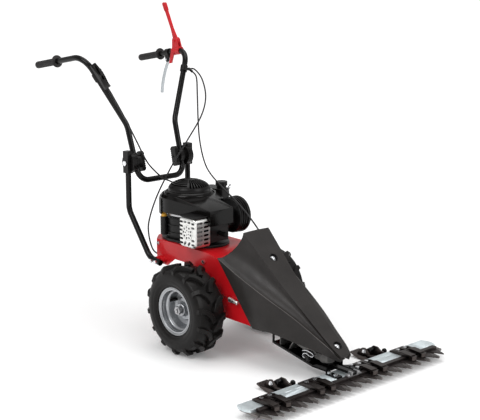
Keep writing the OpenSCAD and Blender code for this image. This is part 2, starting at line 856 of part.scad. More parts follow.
module front_hood() {
  color(black) placed() difference() {
    last = len(ridge_x_shares) - 1;
    nose = (ridge_point(last) + skirt_point(last)) / 2;
    tip = [nose[0] + hood_t, 0, nose[2]];
    skin(concat([for (i = [0:last]) hood_section(i)],
      [[for (p = hood_section(last)) mix(tip, p, nose_close_share)]]), hood_t);
    at_hood_screws() post([0, 0, -head_r], 2 * head_r, bolt_r + seat);
  }
}

module at_hood_screws() {
  for (s = [[hood_screw_x, hood_screw_z, ridge_slope], [nose_screw_x, nose_screw_z, nose_slope]])
    translate([s[0], 0, s[1]]) rotate([0, s[2], 0]) children();
}

// Front beam: a channel under the hood that ends in a yoke on the carrier bar

beam_low_z = panel_low - beam_drop;
beam_outline = [
  [beam_rear, pan_z], [panel_front, pan_z], [panel_front + beam_fall, pan_z - beam_t],
  [beam_nose, boss_z], [beam_nose, carrier_top], [yoke_rear, carrier_top],
  [panel_front, beam_low_z], [beam_rear, beam_low_z + beam_fall / 2]];
beam_floor = [
  [beam_rear, beam_low_z + beam_fall / 2], [panel_front, beam_low_z], [yoke_rear, carrier_top],
  [yoke_rear, carrier_top + beam_t], [panel_front, beam_low_z + beam_t],
  [beam_rear, beam_low_z + beam_fall / 2 + beam_t]];

module front_beam() {
  color(black) placed() difference() {
    union() {
      both_sides() translate([0, beam_half - beam_t / 2, 0]) side_plate(beam_outline, beam_t);
      side_plate(beam_floor, 2 * beam_half - beam_t);
      slab([beam_rear, pan_z - beam_t], [panel_front, pan_z], 2 * beam_half - beam_t);
      translate([yoke_rear, -yoke_half, carrier_top]) cube([carrier_front - yoke_rear, 2 * yoke_half,
        yoke_t]);
    }
    translate([yoke_open, -yoke_gap, carrier_top - over])
      cube([carrier_front - yoke_open + over, 2 * yoke_gap, yoke_t + 2 * over]);
    post([knife_shaft_x, 0, pan_z - beam_t - over], beam_t + 2 * over, gearbox_neck_r + seat);
    for (x = yoke_bolt_xs) both_sides() post([x, yoke_bolt_y, carrier_top - over], yoke_t + 2 * over,
      bolt_r + fit);
    translate([roller_x, 0, roller_z]) rotate([90, 0, 0])
      cylinder(h = 2 * beam_half + over, r = bolt_r + fit, center = true);
  }
}

// Cable roller on its pin at the side of the beam
module beam_roller() {
  y0 = -beam_half - seat;
  color(zinc) placed() {
    cross_bar(roller_x, roller_z, bolt_r, y0 - roller_w - head_h, -beam_half + beam_t + seat);
    cross_bar(roller_x, roller_z, 2 * bolt_r, y0 - head_h / 2, y0);
    cross_bar(roller_x, roller_z, guide_roller_r, y0 - roller_w, y0 - head_h / 2);
    cross_bar(roller_x, roller_z, 2 * bolt_r, y0 - roller_w - head_h, y0 - roller_w);
  }
}

// Knife drive

module knife_gearbox() {
  arm = [[knife_shaft_x, arm_z], [panel_front, arm_z], [rocker_x - boss_r, boss_z + boss_h - boss_cap],
    [rocker_x + boss_r, boss_z + boss_h - boss_cap], [rocker_x + boss_r, boss_z + boss_cap],
    [rocker_x - boss_r, boss_z + boss_cap], [panel_front, arm_z - arm_h], [knife_shaft_x, arm_z - arm_h]];
  foot_x = min(nose_screw_x, rocker_x + boss_r / 2);
  post = [[foot_x - head_r, boss_z + boss_h / 2], [foot_x + head_r, boss_z + boss_h / 2],
    under_ridge(nose_screw_x, nose_screw_z, nose_slope, head_r),
    under_ridge(nose_screw_x, nose_screw_z, nose_slope, -head_r)];
  color(mid_grey) placed() difference() {
    union() {
      post([knife_shaft_x, 0, pan_z + sheet_t], gearbox_h, gearbox_r);
      post([knife_shaft_x, 0, pan_z + sheet_t + gearbox_h], gear_top_h, gear_top_r);
      post([knife_shaft_x, 0, arm_z - arm_h], pan_z + 2 * sheet_t - arm_z + arm_h, gearbox_neck_r);
      side_plate(arm, 2 * arm_half);
      side_plate(post, 2 * head_r);
      post([rocker_x, 0, boss_z], boss_h, boss_r);
    }
    post([knife_shaft_x, 0, pan_z + gearbox_h / 2], gearbox_h + gear_top_h, knife_shaft_r + fit);
    post([rocker_x, 0, boss_z - over], boss_h - boss_cap, rocker_shaft_r + fit);
  }
}

module pulley(r) {
  lip = r + belt_t + pulley_lip;
  rotate_extrude() polygon([[0, -groove_h / 2 - pulley_wall], [lip, -groove_h / 2 - pulley_wall],
    [lip, -groove_h / 2],
    [r, -groove_h / 2], [r, groove_h / 2], [lip, groove_h / 2], [lip, groove_h / 2 + pulley_wall],
    [0, groove_h / 2 + pulley_wall]]);
}

module knife_pulley() {
  shaft_low = pan_z + gearbox_h / 2 + room;
  color(mid_grey) placed() translate([knife_shaft_x, 0, 0]) union() {
    post([0, 0, shaft_low], knife_belt_z - shaft_low, knife_shaft_r);
    lift(knife_belt_z) pulley(knife_pulley_r);
    post([0, 0, knife_belt_z], groove_h + pulley_wall, 2 * knife_shaft_r);
  }
}

module belt(x0, r0, x1, r1, z) {
  color(rubber) placed() lift(z - belt_h / 2) linear_extrude(belt_h) difference() {
    hull() {
      translate([x0, 0]) circle(r0 + room + belt_t);
      translate([x1, 0]) circle(r1 + room + belt_t);
    }
    hull() {
      translate([x0, 0]) circle(r0 + room);
      translate([x1, 0]) circle(r1 + room);
    }
  }
}

module knife_belt() {
  belt(crank_x, crank_knife_r, knife_shaft_x, knife_pulley_r, knife_belt_z);
}

module drive_belt() {
  belt(crank_x, crank_drive_r, 0, trans_pulley_r, drive_belt_z);
}

// Outer edge of a belt's run beside a place between its pulleys
function belt_edge(x, x0, r0, x1, r1) = mix(r0, r1, (x - x0) / (x1 - x0)) + room + belt_t;
knife_idler_y = belt_edge(knife_idler_x + idler_arm, crank_x, crank_knife_r, knife_shaft_x, knife_pulley_r)
  + idler_r + idler_gap;
drive_idler_y = belt_edge(drive_idler_x - idler_arm, crank_x, crank_drive_r, 0, trans_pulley_r)
  + idler_r + idler_gap;

// Tension arm on a pin under the deck, with its roller beside the belt
module idler(x, y, reach, z) {
  arm_low = z + belt_h / 2 + idler_t;
  color(steel) placed() {
    post([x, y, arm_low], deck_under - arm_low - seat, idler_pin_r);
    translate([min(x, x + reach), y - idler_r / 2, arm_low]) cube([abs(reach), idler_r, idler_t]);
    for (e = [x, x + reach]) post([e, y, arm_low], idler_t, idler_r * 0.8);
    post([x + reach, y, z - belt_h / 2], belt_h + idler_t, idler_r);
  }
}

module knife_idler() {
  idler(knife_idler_x, knife_idler_y, idler_arm, knife_belt_z);
}

module drive_idler() {
  idler(drive_idler_x, -drive_idler_y, -idler_arm, drive_belt_z);
}

// Wheel drive

module transmission_case() {
  tube_end = half_w - sheet_t - seat;
  color(mid_grey) placed() difference() {
    union() {
      cross_bar(0, wheel_r, trans_r, -trans_half, trans_half);
      cross_bar(0, wheel_r, axle_tube_r, -tube_end, tube_end);
      post([0, 0, wheel_r], trans_top - wheel_r, tower_r);
      for (y = [-trans_half, 0, trans_half]) cross_bar(0, wheel_r, trans_r + sheet_t, y - sheet_t,
        y + sheet_t);
    }
    lift(wheel_r) rotate([90, 0, 0]) cylinder(h = chassis_w, r = axle_r + fit, center = true);
    post([0, 0, trans_top - tower_r], tower_r + over, trans_shaft_r + fit);
  }
}

module transmission_pulley() {
  shaft_low = trans_top - tower_r + room;
  color(mid_grey) placed() union() {
    post([0, 0, shaft_low], drive_belt_z - shaft_low, trans_shaft_r);
    lift(drive_belt_z) pulley(trans_pulley_r);
  }
}

// Engine

module engine_case() {
  color(dark_grey) placed() difference() {
    union() {
      translate([crank_x, 0, deck_z]) {
        cylinder(h = base_t, r = base_r);
        cylinder(h = case_h, r = case_r);
        for (z = [case_h / 3, 2 * case_h / 3]) post([0, 0, z], fin_t, case_r + fin_t);
        cylinder(h = case_h + case_neck, r = 2.5 * crank_r);
      }
      post([dip_x, dip_y, dip_low], dip_z - dip_low, dip_r + 2 * shroud_t);
    }
    post([crank_x, 0, deck_z - over], case_h + case_neck + 2 * over, crank_r + fit);
    at_engine_bolts() {
      post([0, 0, deck_z - over], base_t + 2 * over, bolt_r + fit);
      post([0, 0, deck_z + base_t], case_h, head_r + seat);
    }
    post([dip_x, dip_y, dip_z - dip_depth], dip_depth + over, dip_r + fit);
    translate([fin_start - barrel_seat, cyl_y, cyl_z]) rotate([0, 90, 0])
      cylinder(h = case_r, r = bore_r + seat);
  }
}

// Finned cylinder lying towards the front, with its head
module engine_cylinder() {
  color(mid_grey) placed() union() {
    translate([fin_start - barrel_seat + seat, cyl_y, cyl_z]) rotate([0, 90, 0])
      cylinder(h = head_x + barrel_seat - fin_start, r = bore_r);
    for (i = [0:fin_count - 1]) translate([fin_start + i * fin_pitch, cyl_y - fin_w / 2, cyl_z - fin_h / 2])
      cube([fin_t, fin_w, fin_h]);
    translate([head_x, cyl_y - fin_w / 2, cyl_z - fin_h / 2]) cube([head_t, fin_w, fin_h]);
  }
}

// Crankshaft with flywheel fan above the case and two belt pulleys under the deck
module crankshaft() {
  low = drive_belt_z - groove_h;
  color(steel) placed() translate([crank_x, 0, 0]) union() {
    post([0, 0, low], flywheel_z + flywheel_t - low, crank_r);
    lift(knife_belt_z) pulley(crank_knife_r);
    lift(drive_belt_z) pulley(crank_drive_r);
    post([0, 0, flywheel_z], flywheel_t, flywheel_r);
    for (i = [0:blade_count - 1]) rotate(360 * i / blade_count)
      translate([flywheel_r / 2, -fin_t / 2, flywheel_z]) cube([flywheel_r / 2 - fin_t, fin_t,
        flywheel_t + blade_h]);
  }
}

module shroud_form(inset) {
  face = front_face - inset;
  hull() {
    translate([crank_x, 0, shroud_low]) cylinder(h = shroud_z - shroud_low - shroud_round - inset,
      r = shroud_r - inset, $fn = 40);
    translate([crank_x, 0, shroud_low]) cylinder(h = shroud_z - shroud_low - inset,
      r = shroud_r - shroud_round - inset, $fn = 40);
    translate([head_x, front_y - front_half + inset, shroud_low])
      cube([face - head_x, 2 * (front_half - inset), front_top - shroud_low - inset]);
  }
  translate([fin_start, front_y - front_half + inset, front_low])
    cube([face - fin_start, 2 * (front_half - inset), shroud_low - front_low + over]);
}

module blower_shroud() {
  color(dark_grey) placed() difference() {
    shroud_form(0);
    lift(-over) shroud_form(shroud_t);
    post([crank_x, 0, shroud_low], shroud_top, recoil_r - 2 * recoil_t);
    cross_bar(filter_x, filter_z, filter_r + seat, carb_y, 2 * shroud_r);
  }
}

// Domed recoil cover with radial slots
dome_arc = [for (a = [0:10:80]) [cos(a), sin(a)]];
module recoil_cover() {
  skirt_h = recoil_h * recoil_skirt_share;
  rise = recoil_h - skirt_h;
  outer = [for (p = dome_arc) [recoil_r * p[0], skirt_h + rise * p[1]]];
  inner = [for (p = reversed(dome_arc)) [(recoil_r - recoil_t) * p[0], skirt_h + (rise - recoil_t) * p[1]]];
  color(black) placed() translate([crank_x, 0, shroud_z]) difference() {
    rotate_extrude() polygon(concat([[recoil_r, 0]], outer, [[0, recoil_h], [0, recoil_h - recoil_t]],
      inner, [[recoil_r - recoil_t, 0]]));
    for (i = [0:slot_count - 1]) rotate(360 * i / slot_count)
      translate([recoil_r * slot_in_share, -slot_w / 2, skirt_h + over])
        cube([recoil_r * (slot_out_share - slot_in_share), slot_w, recoil_h]);
  }
}

module starter_grip() {
  color(black) placed() translate([crank_x, 0, shroud_z + seat]) rotate(grip_angle)
    translate([recoil_r + grip_out, 0, starter_r]) {
    rotate([90, 0, 0]) cylinder(h = starter_l, r = starter_r, center = true);
    rotate([0, -90, 0]) cylinder(h = grip_out - seat, r = starter_r / 2);
  }
}

module muffler() {
  w = guard_w - 2 * muffler_gap;
  h = guard_h - 2 * muffler_gap;
  d = guard_d - 2 * muffler_gap;
  color(steel) placed() union() {
    translate([guard_x - guard_w + muffler_gap, guard_y - guard_d + muffler_gap, guard_z + muffler_gap])
      rounded_block([w, d, h], muffler_round);
    cross_bar(fin_start + 4 * fin_pitch, cyl_z, pipe_r, guard_y - muffler_gap - over,
      cyl_y - fin_w / 2 - seat);
    for (z = [guard_h / 4, 3 * guard_h / 4]) cross_bar(guard_x - guard_w / 2, guard_z + z, bolt_r,
      guard_y - guard_d + guard_t + seat, guard_y - guard_d + muffler_gap + over);
  }
}

// A block with its upright edges rounded
module rounded_block(size, r) {
  linear_extrude(size[2]) {
    translate([r, 0]) square([size[0] - 2 * r, size[1]]);
    translate([0, r]) square([size[0], size[1] - 2 * r]);
    for (x = [r, size[0] - r]) for (y = [r, size[1] - r]) translate([x, y]) circle(r);
  }
}

// Sheet guard round the muffler, open towards the cylinder, with rows of slots
module muffler_guard() {
  slot_gap = guard_h / (guard_slots + 1);
  color(zinc) placed() translate([guard_x - guard_w, guard_y - guard_d, guard_z]) difference() {
    rounded_block([guard_w, guard_d, guard_h], muffler_round);
    translate([guard_t, guard_t, guard_t])
      rounded_block([guard_w - 2 * guard_t, guard_d + muffler_round, guard_h - 2 * guard_t],
        muffler_round - guard_t);
    for (i = [0:guard_slots - 1]) lift((i + 0.8) * slot_gap) {
      for (c = [0, 1]) translate([guard_w * (0.12 + 0.42 * c), -over, 0])
        cube([guard_w * 0.34, guard_t + 2 * over, slot_gap * 0.42]);
      translate([-over, guard_d * 0.25, 0]) cube([guard_w + 2 * over, guard_d * 0.5, slot_gap * 0.42]);
    }
  }
}

module carburettor() {
  color(dark_grey) placed() union() {
    translate([filter_x - carb_w / 2, carb_y + seat, filter_z - carb_h * 0.6])
      cube([carb_w, carb_d - seat, carb_h]);
    cross_bar(filter_x, filter_z - carb_h * 0.6, carb_w * 0.36, carb_y + seat, carb_y + carb_d);
    cross_bar(filter_x, filter_z, filter_r * 0.94, carb_y + carb_d, filter_y - seat);
  }
}

// Round ribbed air filter housing
module air_filter() {
  rib = filter_l / (2 * rib_count + 1);
  r_in = filter_r - rib_h;
  steps = [for (i = [0:2 * rib_count]) each [[i % 2 == 0 ? filter_r : r_in, i * rib],
    [i % 2 == 0 ? filter_r : r_in, (i + 1) * rib]]];
  color(black) placed() translate([filter_x, filter_y, filter_z]) rotate([-90, 0, 0])
    rotate_extrude() polygon(concat([[0, 0]], steps, [[r_in, filter_l + rib_h],
      [0, filter_l + 1.5 * rib_h]]));
}

module fuel_tank() {
  color(black) placed() difference() {
    union() {
      translate([tank_rear, tank_y, tank_low]) rounded_block([tank_l, tank_w, tank_top - tank_low],
        tank_round);
      post([cap_x, cap_y, tank_top], neck_h, cap_r - 2 * cap_wall);
    }
    post([cap_x, cap_y, tank_top - tank_round], neck_h + tank_round + over, cap_r - 3 * cap_wall);
  }
}

// Screw cap with a fluted edge and a plug that reaches into the neck
module fuel_cap() {
  color(black) placed() translate([cap_x, cap_y, tank_top + neck_h]) union() {
    lift(seat) difference() {
      cylinder(h = cap_h - neck_h, r = cap_r);
      for (i = [0:flute_count - 1]) rotate(360 * i / flute_count)
        post([cap_r + cap_wall, 0, -over], cap_h, 2 * cap_wall);
    }
    post([0, 0, -neck_h], neck_h + over, cap_r - 3 * cap_wall - fit);
  }
}

module dipstick() {
  color(amber) placed() translate([dip_x, dip_y, dip_z]) union() {
    post([0, 0, -dip_depth + room], dip_depth, dip_r);
    post([0, 0, seat], dip_cap_h, dip_cap_r);
    translate([-dip_cap_r, -dip_cap_r / 4, seat]) cube([2 * dip_cap_r, dip_cap_r / 2, 1.6 * dip_cap_h]);
  }
}

module spark_plug() {
  x0 = head_x + head_t + seat;
  color(black) placed() translate([x0, cyl_y, cyl_z]) rotate([0, 90, 0]) union() {
    cylinder(h = plug_l / 3, r = plug_r, $fn = 6);
    cylinder(h = plug_l, r = plug_r * 0.7);
    post([0, 0, plug_l / 2], plug_l / 2, plug_r);
  }
}

// Handle

lower_points = [[-foot_back, lower_y, foot_z], [-heel_back, lower_y, foot_z + heel_rise],
  [pivot_x, lower_y, knee_z], [pivot_x, lower_y, lower_top]];
base_point = [pivot_x + base_drop * tube_lean_share, base_y, pivot_z - base_drop];
kink_point = [pivot_x - kink_rise * tube_lean_share, kink_y, pivot_z + kink_rise];
bend_point = [bend_fore - grip_reach, bend_y, grip_z + bend_rise];
grip_point = [-grip_reach, grip_y, grip_z];
upper_half = [grip_point, bend_point, kink_point, base_point];
upper_points = concat(upper_half, [for (p = reversed(upper_half)) mirrored(p)]);
upper_bends = [upper_bend, kink_bend, base_bend, base_bend, kink_bend, upper_bend];
tube_dir = unit(kink_point - base_point);
pivot_point = [pivot_x, pivot_y, pivot_z];
grip_dir = unit(bend_point - grip_point);

module lower_handle(side) {
  color(black) placed() scale([1, side, 1]) difference() {
    bent_tube(lower_points, [tube_bend, tube_bend]);
    for (x = bolt_xs) cross_bar(x, foot_bolt_z, bolt_r + fit, lower_y - 2 * tube_r, lower_y + 2 * tube_r);
    cross_bar(pivot_x, pivot_z, bolt_r + fit, lower_y - 2 * tube_r, lower_y + 2 * tube_r);
  }
}

// Outer half of the knuckle: a block on the top of the lower tube with a toothed face
module knuckle_outer() {
  color(black) placed() both_sides() difference() {
    union() {
      cross_bar(pivot_x, pivot_z, knuckle_r, disc_y + room, lower_y);
      translate([pivot_x - block_half, disc_y + disc_t, pivot_z - knuckle_r])
        cube([2 * block_half, lower_y + block_out - disc_y - disc_t,
          knuckle_r + lower_top - pivot_z + block_cap]);
    }
    post([pivot_x, lower_y, pivot_z - 2 * knuckle_r], 2 * knuckle_r + lower_top - pivot_z + seat,
      tube_r + fit);
    cross_bar(pivot_x, pivot_z, bolt_r + fit, pivot_y, lower_y + 2 * block_out);
    for (i = [0:tooth_count - 1]) translate([pivot_x, disc_y + room, pivot_z])
      rotate([0, 360 * i / tooth_count, 0])
      translate([knuckle_r * 0.6, -over, -tooth_w / 2]) cube([knuckle_r, tooth_w / 2 + over, tooth_w]);
  }
}

// Inner half of the knuckle: a toothed disc with a saddle on the upper tube
module knuckle_inner() {
  color(black) placed() both_sides() difference() {
    union() {
      cross_bar(pivot_x, pivot_z, knuckle_r, disc_y - disc_t, disc_y);
      cross_bar(pivot_x, pivot_z, knuckle_r * 0.65, pivot_y - saddle_in, disc_y - disc_t / 2);
    }
    rod(pivot_point - saddle_l * tube_dir, pivot_point + saddle_l * tube_dir, tube_r + fit);
    cross_bar(pivot_x, pivot_z, bolt_r + fit, 0, lower_y);
    for (i = [0:tooth_count - 1]) translate([pivot_x, disc_y, pivot_z])
      rotate([0, 360 * i / tooth_count, 0])
      translate([knuckle_r * 0.6, -tooth_w / 2, -tooth_w / 2])
        cube([knuckle_r, tooth_w / 2 + over, tooth_w]);
  }
}

// Carriage bolts that the handle turns on
module knuckle_bolts() {
  color(zinc) placed() both_sides() {
    cross_bar(pivot_x, pivot_z, bolt_r, stud_end, lower_y + block_out + head_h / 2);
    cross_bar(pivot_x, pivot_z, head_r * 1.3, lower_y + block_out + seat, lower_y + block_out + head_h);
  }
}

// Oblong knob with a ribbed edge
module hand_knob(side) {
  knob_out = pivot_y - saddle_in - seat;
  color(black) placed() scale([1, side, 1]) translate([pivot_x, 0, pivot_z])
    rotate([0, knob_lean, 0]) difference() {
    union() {
      cross_bar(0, 0, knob_hub_r, knob_out - knob_t, knob_out);
      translate([0, knob_out - knob_hub_l, 0]) rotate([90, 0, 0]) linear_extrude(knob_t) difference() {
        hull() for (side = [-1, 1]) translate([0, side * (knob_r - knob_half)]) circle(knob_half);
        for (side = [-1, 1], i = [-3:3]) translate([side * knob_half, i * rib_pitch]) circle(rib_r);
      }
    }
    cross_bar(0, 0, bolt_r + fit, 0, lower_y);
  }
}

module upper_handle() {
  color(black) placed() difference() {
    bent_tube(upper_points, upper_bends);
    both_sides() cross_bar(pivot_x, pivot_z, bolt_r + fit, 0, lower_y);
  }
}

module handle_grips() {
  color(rubber) placed() both_sides() along(grip_point, bend_point) difference() {
    rotate_extrude() polygon([[0, -grip_end_t], [grip_r * 0.8, -grip_end_t], [grip_r, 0],
      [grip_r * 0.94, grip_l * 0.5],
      [grip_r, grip_l - flange_t], [flange_r, grip_l - flange_t], [flange_r, grip_l], [0, grip_l]]);
    post([0, 0, -seat], grip_l + over, tube_r + fit);
  }
}

// Puts the origin on the left handle tube at a distance from the grip's end, with X along the
// tube, Y to the left and Z up from it
module on_tube(s) {
  left = unit(cross([0, 0, 1], grip_dir));
  up = cross(grip_dir, left);
  origin = grip_point + grip_dir * s;
  multmatrix(axes(origin, grip_dir, up)) children();
}

module tube_clamp(l) {
  rotate([0, 90, 0]) cylinder(h = l, r = tube_r + mount_t, center = true);
}

module tube_hole() {
  rotate([0, 90, 0]) cylinder(h = 8 * mount_l, r = tube_r + fit, center = true);
}

// A cheek from the tube to a pivot above or below it
module ear(half, z, r) {
  side_plate([[-half, 0], [half, 0], [r, z], [-r, z]], mount_t);
  cross_bar(0, z, r, -mount_t / 2, mount_t / 2);
}

// Red mount of the knife lever: saddle, two cheeks and a tongue beside the tube
module knife_lever_mount() {
  cheek = lever_t / 2 + room;
  color(red) placed() difference() {
    on_tube(knife_lever_s) union() {
      tube_clamp(mount_l);
      for (side = [-1, 1]) translate([0, side * (cheek + mount_t / 2), 0]) {
        ear(mount_l / 2, knife_lever_lift, lever_hub_r);
      }
      translate([0, -tube_r - mount_t / 2, 0])
        side_plate([[-mount_l / 2, 0], [0, 0], [-mount_l * 0.6, -tongue_drop],
          [-mount_l * 0.95, -tongue_drop]], mount_t);
    }
    bent_bar(upper_half, upper_bends, tube_r + fit, tube_swell, 0);
    on_tube(knife_lever_s) {
      cross_bar(0, knife_lever_lift, bolt_r + fit, -2 * mount_l, 2 * mount_l);
      cross_bar(0, knife_lever_lift, lever_hub_r + room, -cheek, cheek);
      slab([-mount_l, saddle_in], [mount_l, saddle_in + mount_l], 2 * cheek);
    }
  }
}

// Red lever with a rounded bar and a thicker end
module knife_lever() {
  bar = knife_lever_l - lever_w / 2;
  color(red) placed() on_tube(knife_lever_s) lift(knife_lever_lift)
    rotate([0, -knife_lever_lean, 0]) union() {
    cross_bar(0, 0, lever_hub_r - room, -lever_t / 2, lever_t / 2);
    cross_bar(0, 0, bolt_r, -lever_t - mount_t, lever_t + mount_t);
    side_plate([[-lever_hub_r * 0.8, 0], [lever_hub_r * 0.8, 0], [lever_w * 0.4, bar / 3],
      [lever_w / 2, bar], [-lever_w / 2, bar],
      [-lever_w * 0.4, bar / 3]], lever_t);
    lift(bar) rotate([90, 0, 0]) cylinder(h = lever_w, r = lever_w / 2, center = true);
    translate([-lever_w / 2, -lever_w / 2, bar - 2 * lever_w]) cube([lever_w, lever_w, 2 * lever_w]);
  }
}

// Black clamp of the drive lever, with its pivot ears under the tube and the cable rest in front
module drive_lever_mount() {
  cheek = drive_lever_w / 2 + room;
  color(black) placed() on_tube(drive_lever_s) difference() {
    union() {
      tube_clamp(mount_l / 2);
      for (side = [-1, 1]) translate([0, side * (cheek + mount_t / 2), 0]) {
        ear(mount_l / 4, -drive_lever_drop, lever_hub_r * 0.7);
      }
    }
    tube_hole();
    cross_bar(0, -drive_lever_drop, bolt_r + fit, -2 * mount_l, 2 * mount_l);
    slab([-mount_l, -saddle_in - mount_l], [mount_l, -saddle_in], 2 * cheek);
  }
}

// Bare aluminium lever: a curved blade that hangs under the tube
module drive_lever() {
  color(zinc) placed() on_tube(drive_lever_s) lift(-drive_lever_drop)
    rotate([0, drive_lever_lean, 0]) union() {
    cross_bar(0, 0, lever_hub_r * 0.6, -drive_lever_w / 2, drive_lever_w / 2);
    cross_bar(0, 0, bolt_r, -drive_lever_w - mount_t, drive_lever_w + mount_t);
    intersection() {
      translate([blade_arc_r, 0, 0]) rotate([90, 0, 0]) difference() {
        cylinder(h = drive_lever_w, r = blade_arc_r + drive_blade_t / 2, center = true, $fn = 96);
        cylinder(h = 2 * drive_lever_w, r = blade_arc_r - drive_blade_t / 2, center = true, $fn = 96);
      }
      translate([-drive_lever_l / 2, -drive_lever_w, -drive_lever_l])
        cube([drive_lever_l, 2 * drive_lever_w, drive_lever_l]);
    }
  }
}

// Guide on the left tube that holds the ends of two cable sleeves
guide_point = mix(kink_point, bend_point, guide_share);
module cable_guide() {
  color(steel) placed() difference() {
    union() {
      along(guide_point, bend_point) cylinder(h = guide_l, r = tube_r + mount_t * 0.7, center = true);
      for (route = [drive_route, knife_route]) {
        dir = tangent(smooth(route, cable_steps), 0);
        rod(route[0] - dir * ferrule_l, route[0] - dir * seat, ferrule_r);
        rod(guide_point, route[0] - dir * ferrule_l / 2, ferrule_r * 0.8);
      }
    }
    bent_bar(upper_half, upper_bends, tube_r + fit, tube_swell, 0);
  }
}

// Throttle on the right tube, between the bend and the kink
throttle_base = mirrored(mix(kink_point, bend_point, throttle_share));
throttle_dir = mirrored(unit(kink_point - bend_point));
throttle_front = cross(unit(cross(throttle_dir, [1, 0, 0])), throttle_dir);
throttle_end = throttle_base + throttle_front * (throttle_out + throttle_h * 0.35)
  + throttle_dir * (throttle_l / 2 + 2 * room + seat);
module on_right_tube() {
  multmatrix(axes(throttle_base, throttle_front, throttle_dir)) children();
}

module throttle_housing() {
  color(black) placed() on_right_tube() difference() {
    union() {
      cylinder(h = throttle_l * 0.3, r = tube_r + mount_t * 0.7, center = true);
      translate([throttle_out, 0, 0]) rotate([90, 0, 0]) linear_extrude(throttle_w, center = true)
        polygon([[0, -throttle_l / 2], [throttle_h * 0.35, -throttle_l / 2],
          [throttle_h, -throttle_l * 0.1], [throttle_h * 0.9, throttle_l * 0.1],
          [throttle_h * 0.6, throttle_l * 0.36], [throttle_h * 0.7, throttle_l / 2], [0, throttle_l / 2]]);
      translate([0, -throttle_w / 4, -throttle_l * 0.12])
        cube([throttle_out + over, throttle_w / 2, throttle_l * 0.24]);
    }
    cylinder(h = 4 * throttle_l, r = tube_r + fit, center = true);
    translate([throttle_out + throttle_h * 0.3, -throttle_slot / 2, -throttle_l * 0.45])
      cube([throttle_h, throttle_slot, throttle_l * 0.6]);
    translate([throttle_out + throttle_h * 0.6, 0, 0]) rotate([90, 0, 0])
      cylinder(h = 2 * throttle_w, r = bolt_r / 2 + fit, center = true);
  }
}

module throttle_lever() {
  blade = throttle_slot - 2 * room;
  color(black) placed() on_right_tube() translate([throttle_out + throttle_h * 0.6, 0, 0])
    rotate([90, 0, 0]) union() {
    cylinder(h = throttle_w, r = bolt_r / 2, center = true);
    cylinder(h = blade, r = bolt_r, center = true);
    rotate(-throttle_rest) translate([0, -bolt_r, -blade / 2]) cube([throttle_lever_l, 2 * bolt_r, blade]);
  }
}

module throttle_cable() {
  start = [throttle_end, throttle_end + throttle_dir * ferrule_l];
  color(black) placed() cable(concat(start, throttle_route));
}

module drive_cable() {
  color(black) placed() cable(drive_route);
}

module knife_cable() {
  color(black) placed() cable(knife_route);
}

// Cutter bar

module bar_carrier() {
  color(zinc) placed() difference() {
    lift(finger_top) linear_extrude(carrier_t) polygon([
      [carrier_rear, -bar_half + bar_taper], [carrier_rear + carrier_d * 0.3, -bar_half],
        [carrier_rear + carrier_d * 0.7, -bar_half],
      [carrier_front, -bar_half + bar_taper], [carrier_front, bar_half - bar_taper],
        [carrier_rear + carrier_d * 0.7, bar_half],
      [carrier_rear + carrier_d * 0.3, bar_half], [carrier_rear, bar_half - bar_taper]]);
    for (p = bar_bolts) post([p[0], p[1], finger_top - over], carrier_t + 2 * over, bolt_r + fit);
  }
}

yoke_bolt_xs = [carrier_rear + carrier_d * 0.3, carrier_rear + carrier_d * 0.75];
yoke_bolt_y = (yoke_half + yoke_gap) / 2;
clamp_bolt_x = carrier_rear + carrier_d * 0.45;
bar_bolts = concat(
  [for (c = clamp_place_shares) for (s = clamp_bolt_shares) [clamp_bolt_x, (c + s) * pitch]],
  [for (x = yoke_bolt_xs) for (s = [-1, 1]) [x, s * yoke_bolt_y]]);

// Row of fixed fingers on one plate under the carrier
module finger_comb() {
  color(zinc) placed() difference() {
    lift(finger_z) linear_extrude(finger_t) union() {
      translate([carrier_rear + carrier_d * 0.2, bar_taper - bar_half])
        square([carrier_front + finger_root - carrier_rear - carrier_d * 0.2, 2 * (bar_half - bar_taper)]);
      for (i = [0:sections - 1]) translate([0, (i - sections / 2) * pitch]) polygon([
        [carrier_front, -pitch * finger_w_share / 2], [knife_x + finger_root, -pitch * finger_w_share / 2],
        [tip_x, -pitch * finger_tip_share / 2], [tip_x, pitch * finger_tip_share / 2],
        [knife_x + finger_root, pitch * finger_w_share / 2], [carrier_front, pitch * finger_w_share / 2]]);
    }
    for (p = bar_bolts) post([p[0], p[1], finger_z - over], finger_t + 2 * over, bolt_r + fit);
  }
}

// Sliding knife: a back bar with a row of dark triangular sections
module knife_blade() {
  knife_half = sections * pitch / 2;
  color(blade_dark) placed() union() {
    lift(knife_z) linear_extrude(section_t)
      for (i = [0:sections - 1]) translate([0, (i - (sections - 1) / 2) * pitch]) polygon([
        [knife_x, -pitch * section_w_share / 2], [knife_x + back_d, -pitch * section_w_share / 2],
        [tip_x, -pitch * tip_w_share / 2], [tip_x, pitch * tip_w_share / 2],
        [knife_x + back_d, pitch * section_w_share / 2], [knife_x, pitch * section_w_share / 2]]);
    translate([knife_x, -knife_half, knife_z + section_t]) cube([back_d, 2 * knife_half, back_h]);
  }
}

// Forked head on the knife that takes the rocker's roller
module knife_head() {
  half = cheek_gap + cheek_t + head_foot;
  color(steel) placed() union() {
    translate([knife_x, -half, back_top]) cube([back_d, 2 * half, head_base_t]);
    both_sides() translate([knife_x, cheek_gap, back_top]) {
      cube([back_d, cheek_t, cheek_h]);
      cube([back_d, head_foot + cheek_t, foot_t]);
      translate([back_d / 2, cheek_t + head_foot / 2, over]) hex_head(head_r, foot_t + head_h / 2);
    }
  }
}

